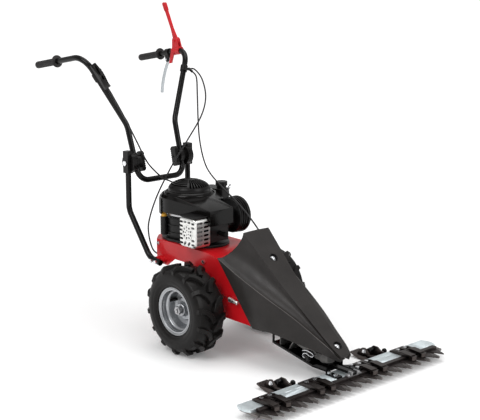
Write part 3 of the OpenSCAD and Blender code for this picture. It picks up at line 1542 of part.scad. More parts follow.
// Swinging arm with its shaft in the boss and a roller in the knife's fork
module rocker_arm() {
  color(black) placed() translate([rocker_x, 0, rocker_z]) union() {
    cylinder(h = rocker_hub_h, r = rocker_hub_r);
    cylinder(h = rocker_hub_h + boss_h - 2 * boss_cap, r = rocker_shaft_r);
    translate([0, -rocker_arm_w / 2, 0]) cube([rocker_l - roller_r - room, rocker_arm_w, rocker_arm_t]);
    translate([rocker_hub_r, -rocker_neck_w / 2, 0]) cube([rocker_l - rocker_hub_r, rocker_neck_w,
      rocker_arm_t]);
    post([rocker_l, 0, 0], rocker_arm_t, roller_r);
  }
}

// Hold-down clamps: a ribbed foot on the carrier and two tongues over the knife
module knife_clamps() {
  z0 = carrier_top + clamp_t;
  z1 = back_top + clamp_clear;
  pad_z = knife_z + section_t + room;
  x0 = clamp_bolt_x + 1.3 * head_r;
  x1 = carrier_front - room;
  color(black) placed() for (c = clamp_place_shares) translate([0, c * pitch, 0]) difference() {
    union() {
      slab([carrier_rear + clamp_t, carrier_top], [x1, z0], clamp_w);
      for (s = [-0.5, 0, 0.5]) translate([0, s * (clamp_w - clamp_t), 0])
        side_plate([[carrier_rear + clamp_t, z0 - over], [x1, z0 - over], [x1, z1 + clamp_t],
          [clamp_bolt_x, z0 + clamp_t]], clamp_t);
      for (s = [-0.5, 0.5]) translate([0, s * pitch, 0]) {
        side_plate([[x0, z0 - over], [x1, z0 - over], [x1, z1], [tongue_x, z1], [tongue_x, z1 + clamp_t],
          [x1 - clamp_t, z1 + 1.5 * clamp_t], [x0, z0 + clamp_t / 2]], tongue_w);
        translate([tongue_x, 0, pad_z]) hex_head(tongue_r, z1 + clamp_t / 2 - pad_z);
      }
    }
    for (s = clamp_bolt_shares)
      post([clamp_bolt_x, s * pitch, carrier_top - over], clamp_t + 2 * over, bolt_r + fit);
  }
}

// Bolts and nuts of clamps and yoke, through carrier and finger plate
module clamp_bolts() {
  color(zinc) placed() {
    for (i = [0:len(bar_bolts) - 1]) translate([bar_bolts[i][0], bar_bolts[i][1], 0]) {
      post([0, 0, finger_z - head_h / 2], carrier_top + clamp_t + head_h - finger_z, bolt_r);
      lift(carrier_top + clamp_t) hex_head(head_r, head_h);
      lift(finger_z - head_h) hex_head(head_r, head_h);
    }
  }
}

// Skid holders behind the bar with their runners, and a small shoe at each end
module skids() {
  x0 = carrier_rear - skid_l;
  x1 = x0 + skid_l * 0.35;
  x2 = carrier_rear - seat;
  knob_z = finger_top + skid_t / 2;
  knob_y = skid_w / 2 + skid_knob_l;
  shoe_x = carrier_rear + carrier_d * 0.5;
  runner = [[x0, finger_z - skid_t], [x1, 0], [carrier_rear, 0], [carrier_front - skid_t * 3, finger_z],
    [carrier_rear + carrier_d * 0.25, finger_z], [carrier_rear - skid_t, skid_t],
    [x1 + skid_t / 2, skid_t], [x0 + skid_t / 2, finger_z]];
  cheek = [[x0, finger_z - skid_t], [x1, skid_t / 2], [x2, skid_t / 2], [x2, carrier_top + clamp_t],
    [x0 + skid_l * 0.76, carrier_top + 4 * clamp_t], [x0 + skid_l * 0.6, carrier_top + 4 * clamp_t]];
  shoe = [[shoe_x, finger_z], [shoe_x + skid_t, 0], [knife_x, 0], [knife_x + back_d, finger_z],
    [knife_x + back_d - skid_t, finger_z], [knife_x - skid_t, skid_t], [shoe_x + 2 * skid_t, skid_t],
    [shoe_x + skid_t, finger_z]];
  color(black) placed() {
    for (side = [-1, 1]) translate([0, side * skid_y, 0]) difference() {
      union() {
        side_plate(runner, skid_w);
        translate([0, (skid_t - skid_w) / 2, 0]) side_plate(cheek, skid_t);
        translate([0, (skid_w - skid_t) / 2, 0]) slab([x1 + skid_t, skid_t / 2], [x2, carrier_top], skid_t);
        slab([x1 + skid_t, skid_t / 2], [x2, skid_t * 2], skid_w);
        cross_bar(x0 + skid_l * 0.8, knob_z, bolt_r, -skid_w / 2, knob_y - over);
        cross_bar(x0 + skid_l * 0.8, knob_z, head_r * 1.2, knob_y - skid_knob_l / 2, knob_y);
      }
      cross_bar(x0 + skid_l * 0.62, knob_z, bolt_r * 1.5, -skid_w, skid_w);
    }
    both_sides() translate([0, shoe_y, 0]) side_plate(shoe, shoe_w);
  }
}

// Drawing

chassis_frame();
frame_bolts();
front_hood();
front_beam();
beam_roller();
knife_gearbox();
knife_pulley();
knife_belt();
knife_idler();
drive_belt();
drive_idler();
transmission_case();
transmission_pulley();
axle_shaft();
axle_bearings();
tyre(1);  // tyre_left
tyre(-1);  // tyre_right
rim(1);  // rim_left
rim(-1);  // rim_right
engine_case();
engine_cylinder();
crankshaft();
blower_shroud();
recoil_cover();
starter_grip();
muffler();
muffler_guard();
carburettor();
air_filter();
fuel_tank();
fuel_cap();
dipstick();
spark_plug();
lower_handle(1);  // lower_handle_left
lower_handle(-1);  // lower_handle_right
knuckle_outer();
knuckle_bolts();
upper_handle();
knuckle_inner();
hand_knob(1);  // knob_left
hand_knob(-1);  // knob_right
handle_grips();
knife_lever_mount();
knife_lever();
drive_lever_mount();
drive_lever();
cable_guide();
throttle_housing();
throttle_lever();
throttle_cable();
drive_cable();
knife_cable();
bar_carrier();
finger_comb();
knife_clamps();
clamp_bolts();
knife_blade();
knife_head();
rocker_arm();
skids();
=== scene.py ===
"""Looks of the walk-behind sickle bar mower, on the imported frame."""
import json
import math

import bmesh
import bpy
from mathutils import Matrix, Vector


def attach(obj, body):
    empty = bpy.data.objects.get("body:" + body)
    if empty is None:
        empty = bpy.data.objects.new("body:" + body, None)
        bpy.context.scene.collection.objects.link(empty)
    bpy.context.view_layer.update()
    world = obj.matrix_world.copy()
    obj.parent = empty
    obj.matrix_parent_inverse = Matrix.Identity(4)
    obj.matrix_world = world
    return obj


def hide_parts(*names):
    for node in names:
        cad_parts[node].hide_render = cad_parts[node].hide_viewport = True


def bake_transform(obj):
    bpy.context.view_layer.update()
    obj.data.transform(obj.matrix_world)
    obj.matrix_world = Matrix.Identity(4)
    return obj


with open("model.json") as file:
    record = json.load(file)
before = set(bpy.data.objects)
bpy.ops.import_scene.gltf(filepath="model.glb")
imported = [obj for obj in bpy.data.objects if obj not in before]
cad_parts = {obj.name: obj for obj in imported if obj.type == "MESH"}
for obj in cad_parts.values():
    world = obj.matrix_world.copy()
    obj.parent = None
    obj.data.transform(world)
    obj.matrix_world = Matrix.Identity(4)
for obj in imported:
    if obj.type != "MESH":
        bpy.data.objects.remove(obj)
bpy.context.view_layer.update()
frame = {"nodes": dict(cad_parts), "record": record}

MM = 0.001
SHIFT = 71.0  # the frame's origin lies this far behind the axle


def at(x, y, z):
    """A point given in millimetres from the axle, in the row frame."""
    return Vector(((x + SHIFT) * MM, y * MM, z * MM))


UP, LEFT, RIGHT, AHEAD = Vector((0, 0, 1)), Vector((0, 1, 0)), Vector((0, -1, 0)), Vector((1, 0, 0))
SIDES = ((1, "left"), (-1, "right"))


# Materials

class Nodes:
    """A material with the few nodes that every finish here needs."""

    def __init__(self, name):
        self.mat = bpy.data.materials.new(name)
        self.mat.use_nodes = True
        self.tree = self.mat.node_tree
        self.tree.nodes.clear()
        self.out = self.tree.nodes.new("ShaderNodeOutputMaterial")
        self.bsdf = self.tree.nodes.new("ShaderNodeBsdfPrincipled")
        self.link(self.bsdf.outputs[0], self.out.inputs[0])
        self.coord = self.tree.nodes.new("ShaderNodeTexCoord").outputs["Object"]

    def link(self, a, b):
        self.tree.links.new(a, b)

    def set(self, **values):
        for key, value in values.items():
            self.bsdf.inputs[key.replace("_", " ")].default_value = value

    def mapped(self, stretch):
        node = self.tree.nodes.new("ShaderNodeMapping")
        node.inputs["Scale"].default_value = stretch
        self.link(self.coord, node.inputs["Vector"])
        return node.outputs[0]

    def noise(self, scale, detail=4.0, rough=0.55, stretch=None):
        node = self.tree.nodes.new("ShaderNodeTexNoise")
        node.inputs["Scale"].default_value = scale
        node.inputs["Detail"].default_value = detail
        node.inputs["Roughness"].default_value = rough
        self.link(self.mapped(stretch) if stretch else self.coord, node.inputs["Vector"])
        return node.outputs["Fac"]

    def cells(self, scale):
        node = self.tree.nodes.new("ShaderNodeTexVoronoi")
        node.inputs["Scale"].default_value = scale
        self.link(self.coord, node.inputs["Vector"])
        return node.outputs["Distance"]

    def ramp(self, fac, stops):
        node = self.tree.nodes.new("ShaderNodeValToRGB")
        ramp = node.color_ramp
        while len(ramp.elements) < len(stops):
            ramp.elements.new(0.5)
        for element, (place, colour) in zip(ramp.elements, stops):
            element.position = place
            element.color = (*colour, 1)
        self.link(fac, node.inputs[0])
        return node.outputs[0]

    def span(self, fac, low, high, start=0.3, end=0.7):
        node = self.tree.nodes.new("ShaderNodeMapRange")
        for key, value in (("From Min", start), ("From Max", end), ("To Min", low), ("To Max", high)):
            node.inputs[key].default_value = value
        self.link(fac, node.inputs["Value"])
        return node.outputs[0]

    def mix(self, fac, a, b):
        node = self.tree.nodes.new("ShaderNodeMix")
        node.data_type = "RGBA"
        for socket, value in ((node.inputs[0], fac), (node.inputs[6], a), (node.inputs[7], b)):
            if isinstance(value, (tuple, list)):
                socket.default_value = (*value, 1)
            elif isinstance(value, float):
                socket.default_value = value
            else:
                self.link(value, socket)
        return node.outputs[2]

    def bump(self, height, strength, distance):
        node = self.tree.nodes.new("ShaderNodeBump")
        node.inputs["Strength"].default_value = strength
        node.inputs["Distance"].default_value = distance
        self.link(height, node.inputs["Height"])
        self.link(node.outputs[0], self.bsdf.inputs["Normal"])

    def colour(self, socket):
        self.link(socket, self.bsdf.inputs["Base Color"])

    def rough(self, socket):
        self.link(socket, self.bsdf.inputs["Roughness"])


def shade(colour, k):
    return tuple(min(1.0, c * k) for c in colour)


def paint(name, colour, rough, coat, bare=(0.3, 0.3, 0.3), wear=0.35, gloss=0.28):
    """Sprayed paint: orange peel, a slightly uneven tone and fine specks of what lies below."""
    n = Nodes(name)
    broad = n.noise(9.0, 3.0)
    body = n.ramp(broad, [(0.3, shade(colour, 0.9)), (0.7, shade(colour, 1.1))])
    specks = n.span(n.noise(170.0, 6.0, 0.7), 0.0, wear, 0.66, 0.78)
    n.colour(n.mix(specks, body, bare))
    n.rough(n.span(n.noise(25.0, 4.0), rough * 0.85, rough * 1.25))
    n.set(Coat_Weight=coat, Coat_Roughness=0.12, Specular_IOR_Level=gloss)
    n.bump(n.noise(420.0, 2.0), 0.06, 0.0006)
    return n.mat


def plastic(name, colour, rough, grain=0.12, grain_scale=900.0, gloss=0.28):
    """Moulded plastic with a fine spark-eroded grain and scuffed patches."""
    n = Nodes(name)
    patch = n.noise(14.0, 4.0)
    body = n.ramp(patch, [(0.3, shade(colour, 0.82)), (0.7, shade(colour, 1.18))])
    scuff = n.span(n.noise(95.0, 6.0, 0.7, (1.0, 1.0, 0.25)), 0.0, 0.25, 0.62, 0.78)
    n.colour(n.mix(scuff, body, shade(colour, 2.2)))
    n.rough(n.span(n.noise(40.0, 5.0), rough * 0.85, rough * 1.2))
    n.bump(n.cells(grain_scale), grain, 0.0004)
    n.set(Specular_IOR_Level=gloss)
    return n.mat


def metal(name, colour, rough, brushed=None, spots=0.0, tarnish=0.75):
    """Bare or plated metal: fine streaks or crystals, dulled patches and small stains."""
    n = Nodes(name)
    patch = n.noise(18.0, 5.0, 0.6)
    body = n.ramp(patch, [(0.3, shade(colour, tarnish)), (0.65, colour)])
    if spots:
        stain = n.span(n.noise(140.0, 6.0, 0.7), 0.0, spots, 0.56, 0.7)
        body = n.mix(stain, body, shade(colour, 0.45))
    n.colour(body)
    streak = n.noise(260.0, 3.0, 0.6, brushed) if brushed else n.noise(320.0, 3.0)
    n.rough(n.span(streak, rough * 0.75, rough * 1.3))
    n.bump(streak, 0.08, 0.0005)
    n.set(Metallic=1.0)
    return n.mat


def casting(name, colour, rough, metallic):
    """Sand-cast or die-cast surface with a pebbled skin."""
    n = Nodes(name)
    n.colour(n.ramp(n.noise(30.0, 5.0), [(0.3, shade(colour, 0.75)), (0.7, shade(colour, 1.2))]))
    n.rough(n.span(n.noise(80.0, 4.0), rough * 0.85, rough * 1.15))
    n.bump(n.noise(650.0, 4.0, 0.6), 0.25, 0.0008)
    n.set(Metallic=metallic, Specular_IOR_Level=0.28)
    return n.mat


PALE_BLOOM = (0.16, 0.15, 0.14)


def rubber(name, colour, rough, dust=PALE_BLOOM, dusty=0.22, gloss=0.35):
    """Rubber with a light bloom that lies in patches."""
    n = Nodes(name)
    bloom = n.span(n.noise(22.0, 6.0, 0.65), 0.0, dusty, 0.42, 0.75)
    body = n.ramp(n.noise(120.0, 3.0), [(0.3, shade(colour, 0.85)), (0.7, shade(colour, 1.15))])
    n.colour(n.mix(bloom, body, dust))
    n.rough(n.span(n.noise(70.0, 4.0), rough * 0.9, rough * 1.1))
    n.bump(n.noise(700.0, 4.0), 0.15, 0.0006)
    n.set(Specular_IOR_Level=gloss)
    return n.mat


# Each finish has its maker, and then what the maker takes after the name
FINISHES = {
    "red_paint": (paint, (0.56, 0.007, 0.012), 0.34, 0.25, (0.40, 0.05, 0.05), 0.12),
    "black_paint": (paint, (0.0032, 0.0029, 0.0029), 0.2, 0.0, (0.02, 0.02, 0.02), 0.12, 0.2),
    "black_plastic": (plastic, (0.0046, 0.0040, 0.0039), 0.32, 0.06, 900.0, 0.2),
    "hood_plastic": (plastic, (0.0225, 0.0198, 0.0187), 0.40, 0.06, 1400.0),
    # Lighter finish for the line along the hood's shoulder: painted highlight
    "hood_edge": (plastic, (0.10, 0.092, 0.088), 0.36, 0.04, 1400.0),
    "shroud_grey": (paint, (0.0034, 0.0029, 0.0027), 0.15, 0.0, (0.012, 0.012, 0.012), 0.1, 0.17),
    "red_plastic": (plastic, (0.50, 0.010, 0.016), 0.32, 0.05),
    "amber_plastic": (plastic, (0.66, 0.34, 0.040), 0.35, 0.04),
    "zinc": (metal, (0.82, 0.83, 0.85), 0.26, None, 0.15, 0.85),
    "bar_steel": (metal, (0.72, 0.78, 0.80), 0.62, None, 0.10, 0.90),
    "finger_steel": (metal, (0.215, 0.198, 0.192), 0.42, (0.15, 1.0, 1.0), 0.25),
    "blade_steel": (metal, (0.075, 0.063, 0.061), 0.38, (0.15, 1.0, 1.0), 0.2),
    # Near-black finish laid on the floors of grooves and slots: painted shade
    "slot_dark": (plastic, (0.0010, 0.0010, 0.0010), 0.9, 0.05, 900.0, 0.02),
    "clamp_black": (metal, (0.085, 0.072, 0.068), 0.36, None, 0.2),
    "machined_steel": (metal, (0.50, 0.50, 0.51), 0.34, None, 0.2),
    "cast_grey": (casting, (0.17, 0.165, 0.16), 0.5, 0.5),
    "engine_black": (casting, (0.0040, 0.0038, 0.0038), 0.38, 0.0),
    "fin_alloy": (casting, (0.012, 0.0115, 0.0115), 0.42, 0.2),
    "bare_alloy": (metal, (0.50, 0.53, 0.55), 0.30, (0.2, 1.0, 0.2), 0.1, 0.8),
    "guard_steel": (metal, (0.84, 0.84, 0.82), 0.36, None, 0.12, 0.88),
    "rim_silver": (metal, (0.42, 0.43, 0.445), 0.34, None, 0.12, 0.85),
    "tyre": (rubber, (0.0068, 0.0060, 0.0058), 0.36, (0.030, 0.026, 0.0245), 0.2, 0.15),
    "grip_rubber": (rubber, (0.013, 0.012, 0.0125), 0.55, PALE_BLOOM, 0.08),
    "belt_rubber": (rubber, (0.018, 0.018, 0.018), 0.7),
    "cable_sleeve": (plastic, (0.016, 0.0155, 0.016), 0.34, 0.05),
}
M = {name: make(name, *values) for name, (make, *values) in FINISHES.items()}

# Finishes that are kinds of a slot of the record
SLOT_OF = {s["node"]: s["material_slot"] for s in frame["record"]["subparts"]}
for node, obj in frame["nodes"].items():
    obj.data.materials.clear()
    obj.data.materials.append(M[SLOT_OF[node]])


# Mesh helpers

def piece(name, verts, faces, body, slot, nodes=()):
    """A new smooth-shaded object that rides on a body and stands for the CAD nodes."""
    mesh = bpy.data.meshes.new(name)
    mesh.from_pydata([tuple(v) for v in verts], [], faces)
    mesh.validate()
    obj = bpy.data.objects.new(name, mesh)
    bpy.context.scene.collection.objects.link(obj)
    return dress(obj, body, slot, nodes)


def dress(obj, body, slot, nodes=()):
    """Give an object its finish, its body and the nodes that it stands for."""
    obj.data.materials.clear()
    obj.data.materials.append(M[slot])
    for p in obj.data.polygons:
        p.use_smooth = True
    if body:
        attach(obj, body)
    if nodes:
        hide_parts(*nodes)
    return obj


def sharpen(obj, crease):
    """Mark the edges that fold by more than the crease, in degrees."""
    obj.data.set_sharp_from_angle(angle=math.radians(crease))


def between(p, i, s):
    """A point of the curve through all the points p, a share s past the point i."""
    a, b, c, d = p[max(i - 1, 0)], p[i], p[i + 1], p[min(i + 2, len(p) - 1)]
    return 0.5 * (2 * b + (c - a) * s + (2 * a - 5 * b + 4 * c - d) * s * s
                  + (3 * b - a - 3 * c + d) * s ** 3)


def smooth_line(points, steps):
    """The curve through all the points, with so many steps from each to the next."""
    line = [between(points, i, k / steps) for i in range(len(points) - 1) for k in range(steps)]
    return line + [points[-1]]


def prism(rings, caps=True):
    """Verts and faces of a body through rings of points with equal counts."""
    n = len(rings[0])
    verts = [p for ring in rings for p in ring]
    faces = [(i * n + k, i * n + (k + 1) % n, (i + 1) * n + (k + 1) % n, (i + 1) * n + k)
             for i in range(len(rings) - 1) for k in range(n)]
    if caps:
        faces.append(tuple(range(n - 1, -1, -1)))
        faces.append(tuple((len(rings) - 1) * n + k for k in range(n)))
    return verts, faces


def circle(centre, radius, u, v, sides):
    """Points round a centre, in the plane of u and v."""
    turns = [2 * math.pi * k / sides for k in range(sides)]
    return [centre + radius * (u * math.cos(a) + v * math.sin(a)) for a in turns]


def sweep(path, radius, sides):
    """Verts and faces of a round tube along a path, closed at both ends."""
    rings = []
    normal = None
    for i, p in enumerate(path):
        t = (path[min(i + 1, len(path) - 1)] - path[max(i - 1, 0)]).normalized()
        if normal is None:
            normal = t.cross(UP)
            if normal.length < 0.1:
                normal = t.cross(AHEAD)
        normal = (normal - t * normal.dot(t)).normalized()
        rings.append(circle(p, radius, normal, t.cross(normal), sides))
    return prism(rings)


def lathe(profile, origin, axis, sides=48, caps=True):
    """Verts and faces of a turned form; the profile is (distance along, radius)."""
    axis = axis.normalized()
    u = axis.orthogonal().normalized()
    v = axis.cross(u)
    return prism([circle(origin + axis * d, r, u, v, sides) for d, r in profile], caps)


def turned(name, profile, origin, axis, body, slot, nodes=(), sides=48, caps=True, crease=40.0):
    """A turned piece; the profile is in millimetres along the axis and across it."""
    verts, faces = lathe([(d * MM, r * MM) for d, r in profile], origin, axis, sides, caps)
    obj = piece(name, verts, faces, body, slot, nodes)
    sharpen(obj, crease)
    return obj


# Cables, on the routes of the CAD solids

CABLE_R, CABLE_STEPS, CABLE_SIDES = 3.0 * MM, 8, 12
# Where the throttle cable leaves its housing, its way out, and how far it runs straight
THROTTLE_END = Vector((-455.536, -189.755, 915.307))
THROTTLE_DIR = Vector((0.2578, 0.4373, -0.8616))
THROTTLE_LEAD = 26
ROUTES = {
    "throttle_cable": [THROTTLE_END, THROTTLE_END + THROTTLE_DIR * THROTTLE_LEAD,
                       (-394, -165, 815), (-365, -132, 724), (-351, -95, 642), (-342, -62, 600),
                       (-334, -30, 570), (-336, 0, 556), (-338, 30, 540), (-326, 54, 516), (-314, 60, 490)],
    "drive_cable": [(-455, 206, 962), (-420, 204, 962), (-360, 190, 930), (-306, 162, 868),
                    (-284, 120, 800), (-297, 60, 710), (-328, 10, 616), (-360, -40, 500), (-374, -70, 405),
                    (-362, -82, 350), (-330, -88, 300), (-284, -88, 290), (-250, -86, 312), (-244, -84, 350)],
    "knife_cable": [(-455, 220, 950), (-425, 216, 930), (-395, 195, 865), (-362, 170, 775),
                    (-330, 150, 700), (-280, 128, 630), (-210, 100, 590), (-90, 66, 550), (20, 40, 515),
                    (120, 26, 460), (200, 14, 400)],
}
for name, route in ROUTES.items():
    path = smooth_line([at(*p) for p in route], CABLE_STEPS)
    sleeve = piece(name + "_sleeve", *sweep(path, CABLE_R, CABLE_SIDES), None, "cable_sleeve", (name,))
    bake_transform(sleeve)


# Modifiers

EDGE_ANGLE = 34.0  # a sharper fold than this, in degrees, is an edge to round


def apply_modifiers(obj):
    bpy.context.view_layer.update()
    baked = bpy.data.meshes.new_from_object(obj.evaluated_get(bpy.context.evaluated_depsgraph_get()))
    obj.modifiers.clear()
    obj.data = baked


def round_edges(obj, width, segments=2, limit=EDGE_ANGLE):
    bevel = obj.modifiers.new("edges", "BEVEL")
    bevel.width = width * MM
    bevel.segments = segments
    bevel.limit_method = "ANGLE"
    bevel.angle_limit = math.radians(limit)


def even_normals(obj):
    even = obj.modifiers.new("normals", "WEIGHTED_NORMAL")
    even.mode = "FACE_AREA"
    even.weight = 100


def thicken(obj, wall):
    solid = obj.modifiers.new("wall", "SOLIDIFY")
    solid.thickness = wall * MM
    solid.offset = -1.0


def carve(obj, tool):
    cut = obj.modifiers.new("cut", "BOOLEAN")
    cut.operation = "DIFFERENCE"
    cut.object = tool
    apply_modifiers(obj)


# Rounded copies of rigid solids, so that their edges catch the light

WELD, FLAT_ANGLE, DROP_REACH = 2e-6, 0.6, 0.03


def softened(node, width, slot=None, segments=2):
    """A copy of a CAD solid with its sharp edges rounded, in place of the solid."""
    bm = bmesh.new()
    bm.from_mesh(frame["nodes"][node].data)
    bmesh.ops.remove_doubles(bm, verts=bm.verts, dist=WELD)
    bmesh.ops.dissolve_limit(bm, angle_limit=math.radians(FLAT_ANGLE), verts=bm.verts, edges=bm.edges)
    for drop in DROPPED.get(node, ()):
        gone = [v for v in bm.verts if (v.co - drop).length < DROP_REACH]
        bmesh.ops.delete(bm, geom=gone, context="VERTS")
    mesh = bpy.data.meshes.new(node + "_soft")
    bm.to_mesh(mesh)
    bm.free()
    for p in mesh.polygons:
        p.use_smooth = True
    obj = bpy.data.objects.new(node + "_soft", mesh)
    bpy.context.scene.collection.objects.link(obj)
    sharpen(obj, EDGE_ANGLE)
    round_edges(obj, width, segments)
    even_normals(obj)
    apply_modifiers(obj)
    return dress(obj, BODY_OF[node], slot or SLOT_OF[node], (node,))


BODY_OF = {n: b for b, names in frame["record"]["behaviour"]["bodies"].items() for n in names}
# How far the edges of each solid are rounded
SOFT = {
    "chassis_frame": 1.2, "knob_left": 1.6, "knob_right": 1.6,
    "knuckle_outer": 1.5, "knuckle_inner": 0.8, "frame_bolts": 0.6, "clamp_bolts": 0.6, "knuckle_bolts": 1.2,
    "bar_carrier": 0.8, "finger_comb": 0.9, "knife_blade": 0.4,
    "knife_head": 0.7, "rocker_arm": 1.2, "knife_gearbox": 1.5, "blower_shroud": 9.0,
    "fuel_tank": 3.0, "fuel_cap": 1.2, "dipstick": 1.0,
    "carburettor": 1.2, "engine_case": 1.5, "engine_cylinder": 0.7, "muffler": 1.5, "starter_grip": 2.0,
    "knife_lever_mount": 1.2, "knife_lever": 1.8, "drive_lever_mount": 1.0, "drive_lever": 1.2,
    "throttle_housing": 1.4, "throttle_lever": 0.8, "axle_shaft": 0.8, "axle_bearings": 0.8,
    "transmission_case": 1.2, "spark_plug": 0.6,
}
WIDE_ROUND = 5.0  # a wider rounding than this has more segments
# The hood screws are drawn with their pits further down
HOOD_SCREW_X, NOSE_SCREW_X = 246.0, 557.0
DROPPED = {"frame_bolts": [at(HOOD_SCREW_X, 0, 366.8), at(NOSE_SCREW_X, 0, 123.9)]}
soft = {node: softened(node, width, None, 4 if width > WIDE_ROUND else 2) for node, width in SOFT.items()}
softened("knife_clamps", 1.4, "clamp_black")
softened("cable_guide", 0.6, "black_plastic")
softened("beam_roller", 0.8, "black_paint")


# Plates and cutters

def lerp(a, b, s):
    return a + (b - a) * s


def rounded_outline(w, h, r, steps=6):
    """A rounded rectangle about the origin, anticlockwise."""
    line = []
    for sx, sy, start in ((1, -1, -90), (1, 1, 0), (-1, 1, 90), (-1, -1, 180)):
        for k in range(steps + 1):
            a = math.radians(start + 90.0 * k / steps)
            line.append((sx * (w / 2 - r) + r * math.cos(a), sy * (h / 2 - r) + r * math.sin(a)))
    return line


def joined(parts):
    """Verts and faces of several parts as one."""
    verts, faces = [], []
    for v, f in parts:
        base = len(verts)
        verts += v
        faces += [tuple(base + k for k in face) for face in f]
    return verts, faces


def plate_y(outline, y0, y1):
    """A plate with an outline in the XZ plane, in axle millimetres."""
    return prism([[at(x, y, z) for x, z in outline] for y in (y0, y1)])


def plate_z(outline, z0, z1):
    """A plate with an outline in the XY plane, in axle millimetres."""
    return prism([[at(x, y, z) for x, y in outline] for z in (z0, z1)])


def block(low, high):
    """A plain box between two corners."""
    (x0, y0, z0), (x1, y1, z1) = low, high
    return plate_y([(x0, z0), (x1, z0), (x1, z1), (x0, z1)], y0, y1)


def tidy_normals(obj, crease=32.0, bevel=0.0):
    """Turn all faces outward, mark the creases and, where asked, round the edges."""
    bm = bmesh.new()
    bm.from_mesh(obj.data)
    bmesh.ops.recalc_face_normals(bm, faces=bm.faces)
    bm.to_mesh(obj.data)
    bm.free()
    sharpen(obj, crease)
    if bevel:
        round_edges(obj, bevel)
        even_normals(obj)
        apply_modifiers(obj)
    return obj


def cut_out(objs, name, cutter, slot):
    """Take a closed cutter away from each of the objects."""
    tool = tidy_normals(piece(name, *cutter, None, slot))
    for obj in objs:
        carve(obj, tool)
    bpy.data.objects.remove(tool)


# Hood: the rails of the CAD skin, drawn finer

HOOD_REAR, HOOD_NOSE, HOOD_TOP, NOSE_Z = 154.0, 590.0, 449.0, 78.0
SHOULDER_REAR, SHOULDER_Z, SKIRT_REAR, SKIRT_Z = 80.0, 352.0, 262.0, 136.0
HOOD_HALF, RIDGE_HALF, SCOOP, HOOD_WALL = 118.0, 61.0, 24.0, 3.0
# Each rail's points as shares of its length, its half width and its height
RIDGE = [(0, 1, 1), (0.2, 0.85, 0.79), (0.4, 0.70, 0.58), (0.6, 0.60, 0.40), (0.8, 0.53, 0.226),
         (0.93, 0.50, 0.119), (1, 0.40, 0.06)]
SHOULDER = [(0, 1, 1), (0.217, 0.98, 0.832), (0.433, 0.83, 0.646), (0.657, 0.61, 0.449),
            (0.829, 0.43, 0.263), (0.941, 0.32, 0.142), (1, 0.25, 0.051)]
SKIRT = [(0, 1, 1), (0.117, 0.99, 1.03), (0.248, 0.95, 1.07), (0.537, 0.71, 0.74), (0.788, 0.46, 0.40),
         (0.929, 0.30, 0.14), (1, 0.18, 0)]
RAIL_STEPS, FLANK_ROWS, SCOOP_ROWS = 9, 6, 10
SCOOP_POWER, SCOOP_SHARE = 0.75, 0.7
BEAD = Vector((0, 1.4, 1.4))
CROWN, CROWN_PLACES = 1.5, (0.8, 0.55, 0.28, 0)
TIP_RINGS = (0.55, 0.12)


def rail(table, rear, half, top):
    points = [Vector((lerp(rear, HOOD_NOSE, x), y * half, lerp(NOSE_Z, top, z))) for x, y, z in table]
    return smooth_line(points, RAIL_STEPS)


RIDGE_LINE = rail(RIDGE, HOOD_REAR, RIDGE_HALF, HOOD_TOP)
SHOULDER_LINE = rail(SHOULDER, SHOULDER_REAR, HOOD_HALF, SHOULDER_Z)
SKIRT_LINE = rail(SKIRT, SKIRT_REAR, HOOD_HALF, SKIRT_Z)
RIDGE_SHARE = [p.x for p in smooth_line([Vector((y, 0, 0)) for _, y, _ in RIDGE], RAIL_STEPS)]


def hood_mesh():
    """The skin in rows across the hood: flank, scoop and crowned ridge, then the mirrored half."""
    rows = []
    for ridge, shoulder, skirt, share in zip(RIDGE_LINE, SHOULDER_LINE, SKIRT_LINE, RIDGE_SHARE):
        half = [lerp(skirt, shoulder, k / FLANK_ROWS) for k in range(FLANK_ROWS)]
        for k in range(SCOOP_ROWS + 1):
            s = k / SCOOP_ROWS
            dip = (4 * s * (1 - s)) ** SCOOP_POWER * SCOOP * share * SCOOP_SHARE
            half.append(lerp(shoulder, ridge, s) - Vector((0, dip, dip)) + (Vector() if k else BEAD))
        half += [Vector((ridge.x, ridge.y * c, ridge.z + CROWN * share * (1 - c * c))) for c in CROWN_PLACES]
        rows.append([Vector((p.x, -p.y, p.z)) for p in half] + half[-2::-1])
    tip = (RIDGE_LINE[-1] + SKIRT_LINE[-1]) / 2
    tip = Vector((tip.x + HOOD_WALL, 0, tip.z))
    nose = rows[-1]
    rows += [[lerp(tip, p, s) for p in nose] for s in TIP_RINGS]
    cols = len(nose)
    verts = [at(*p) for r in rows for p in r]
    faces = [(i * cols + j, (i + 1) * cols + j, (i + 1) * cols + j + 1, i * cols + j + 1)
             for i in range(len(rows) - 1) for j in range(cols - 1)]
    return verts, faces


hood = piece("hood_shell", *hood_mesh(), None, "hood_plastic")
thicken(hood, HOOD_WALL)
round_edges(hood, width=2.5, segments=3, limit=24.0)
apply_modifiers(hood)

PIT_R, PIT_DEPTH, PIT_SIDES = 15.0, 8.0, 37
SKIN_LIFT = 1.2
PIT_DRILL = [(-12 * MM, PIT_R * MM), (12 * MM, PIT_R * MM)]
DRILL_ASIDE = Vector((0, 0.00021, 0))  # keeps the drill's edges off those of the skin
PIT_RIM = [(-1.5, PIT_R + 1.6), (0.5, PIT_R + 1.2), (0.9, PIT_R + 0.3), (0.2, PIT_R - 0.6),
           (-PIT_DEPTH + 1.5, PIT_R - 1.2), (-PIT_DEPTH, PIT_R - 2.8), (-PIT_DEPTH, 0.5)]
# The washer and the head, from the floor of the pit
PIT_SCREW = [(-1, 10.5), (1.0, 10.5), (1.6, 9.9), (1.8, 7.6), (4.4, 7.3), (5.6, 5.9), (5.9, 3.4), (4.2, 3.1),
             (4.0, 0.6)]


def on_ridge(x):
    """The point of the hood's centre line at x, and the way out of the skin there."""
    for a, b in zip(RIDGE_LINE, RIDGE_LINE[1:]):
        if a.x <= x <= b.x:
            z = lerp(a.z, b.z, (x - a.x) / (b.x - a.x))
            return at(x, 0, z + SKIN_LIFT), Vector((a.z - b.z, 0, b.x - a.x)).normalized()
    raise ValueError(x)


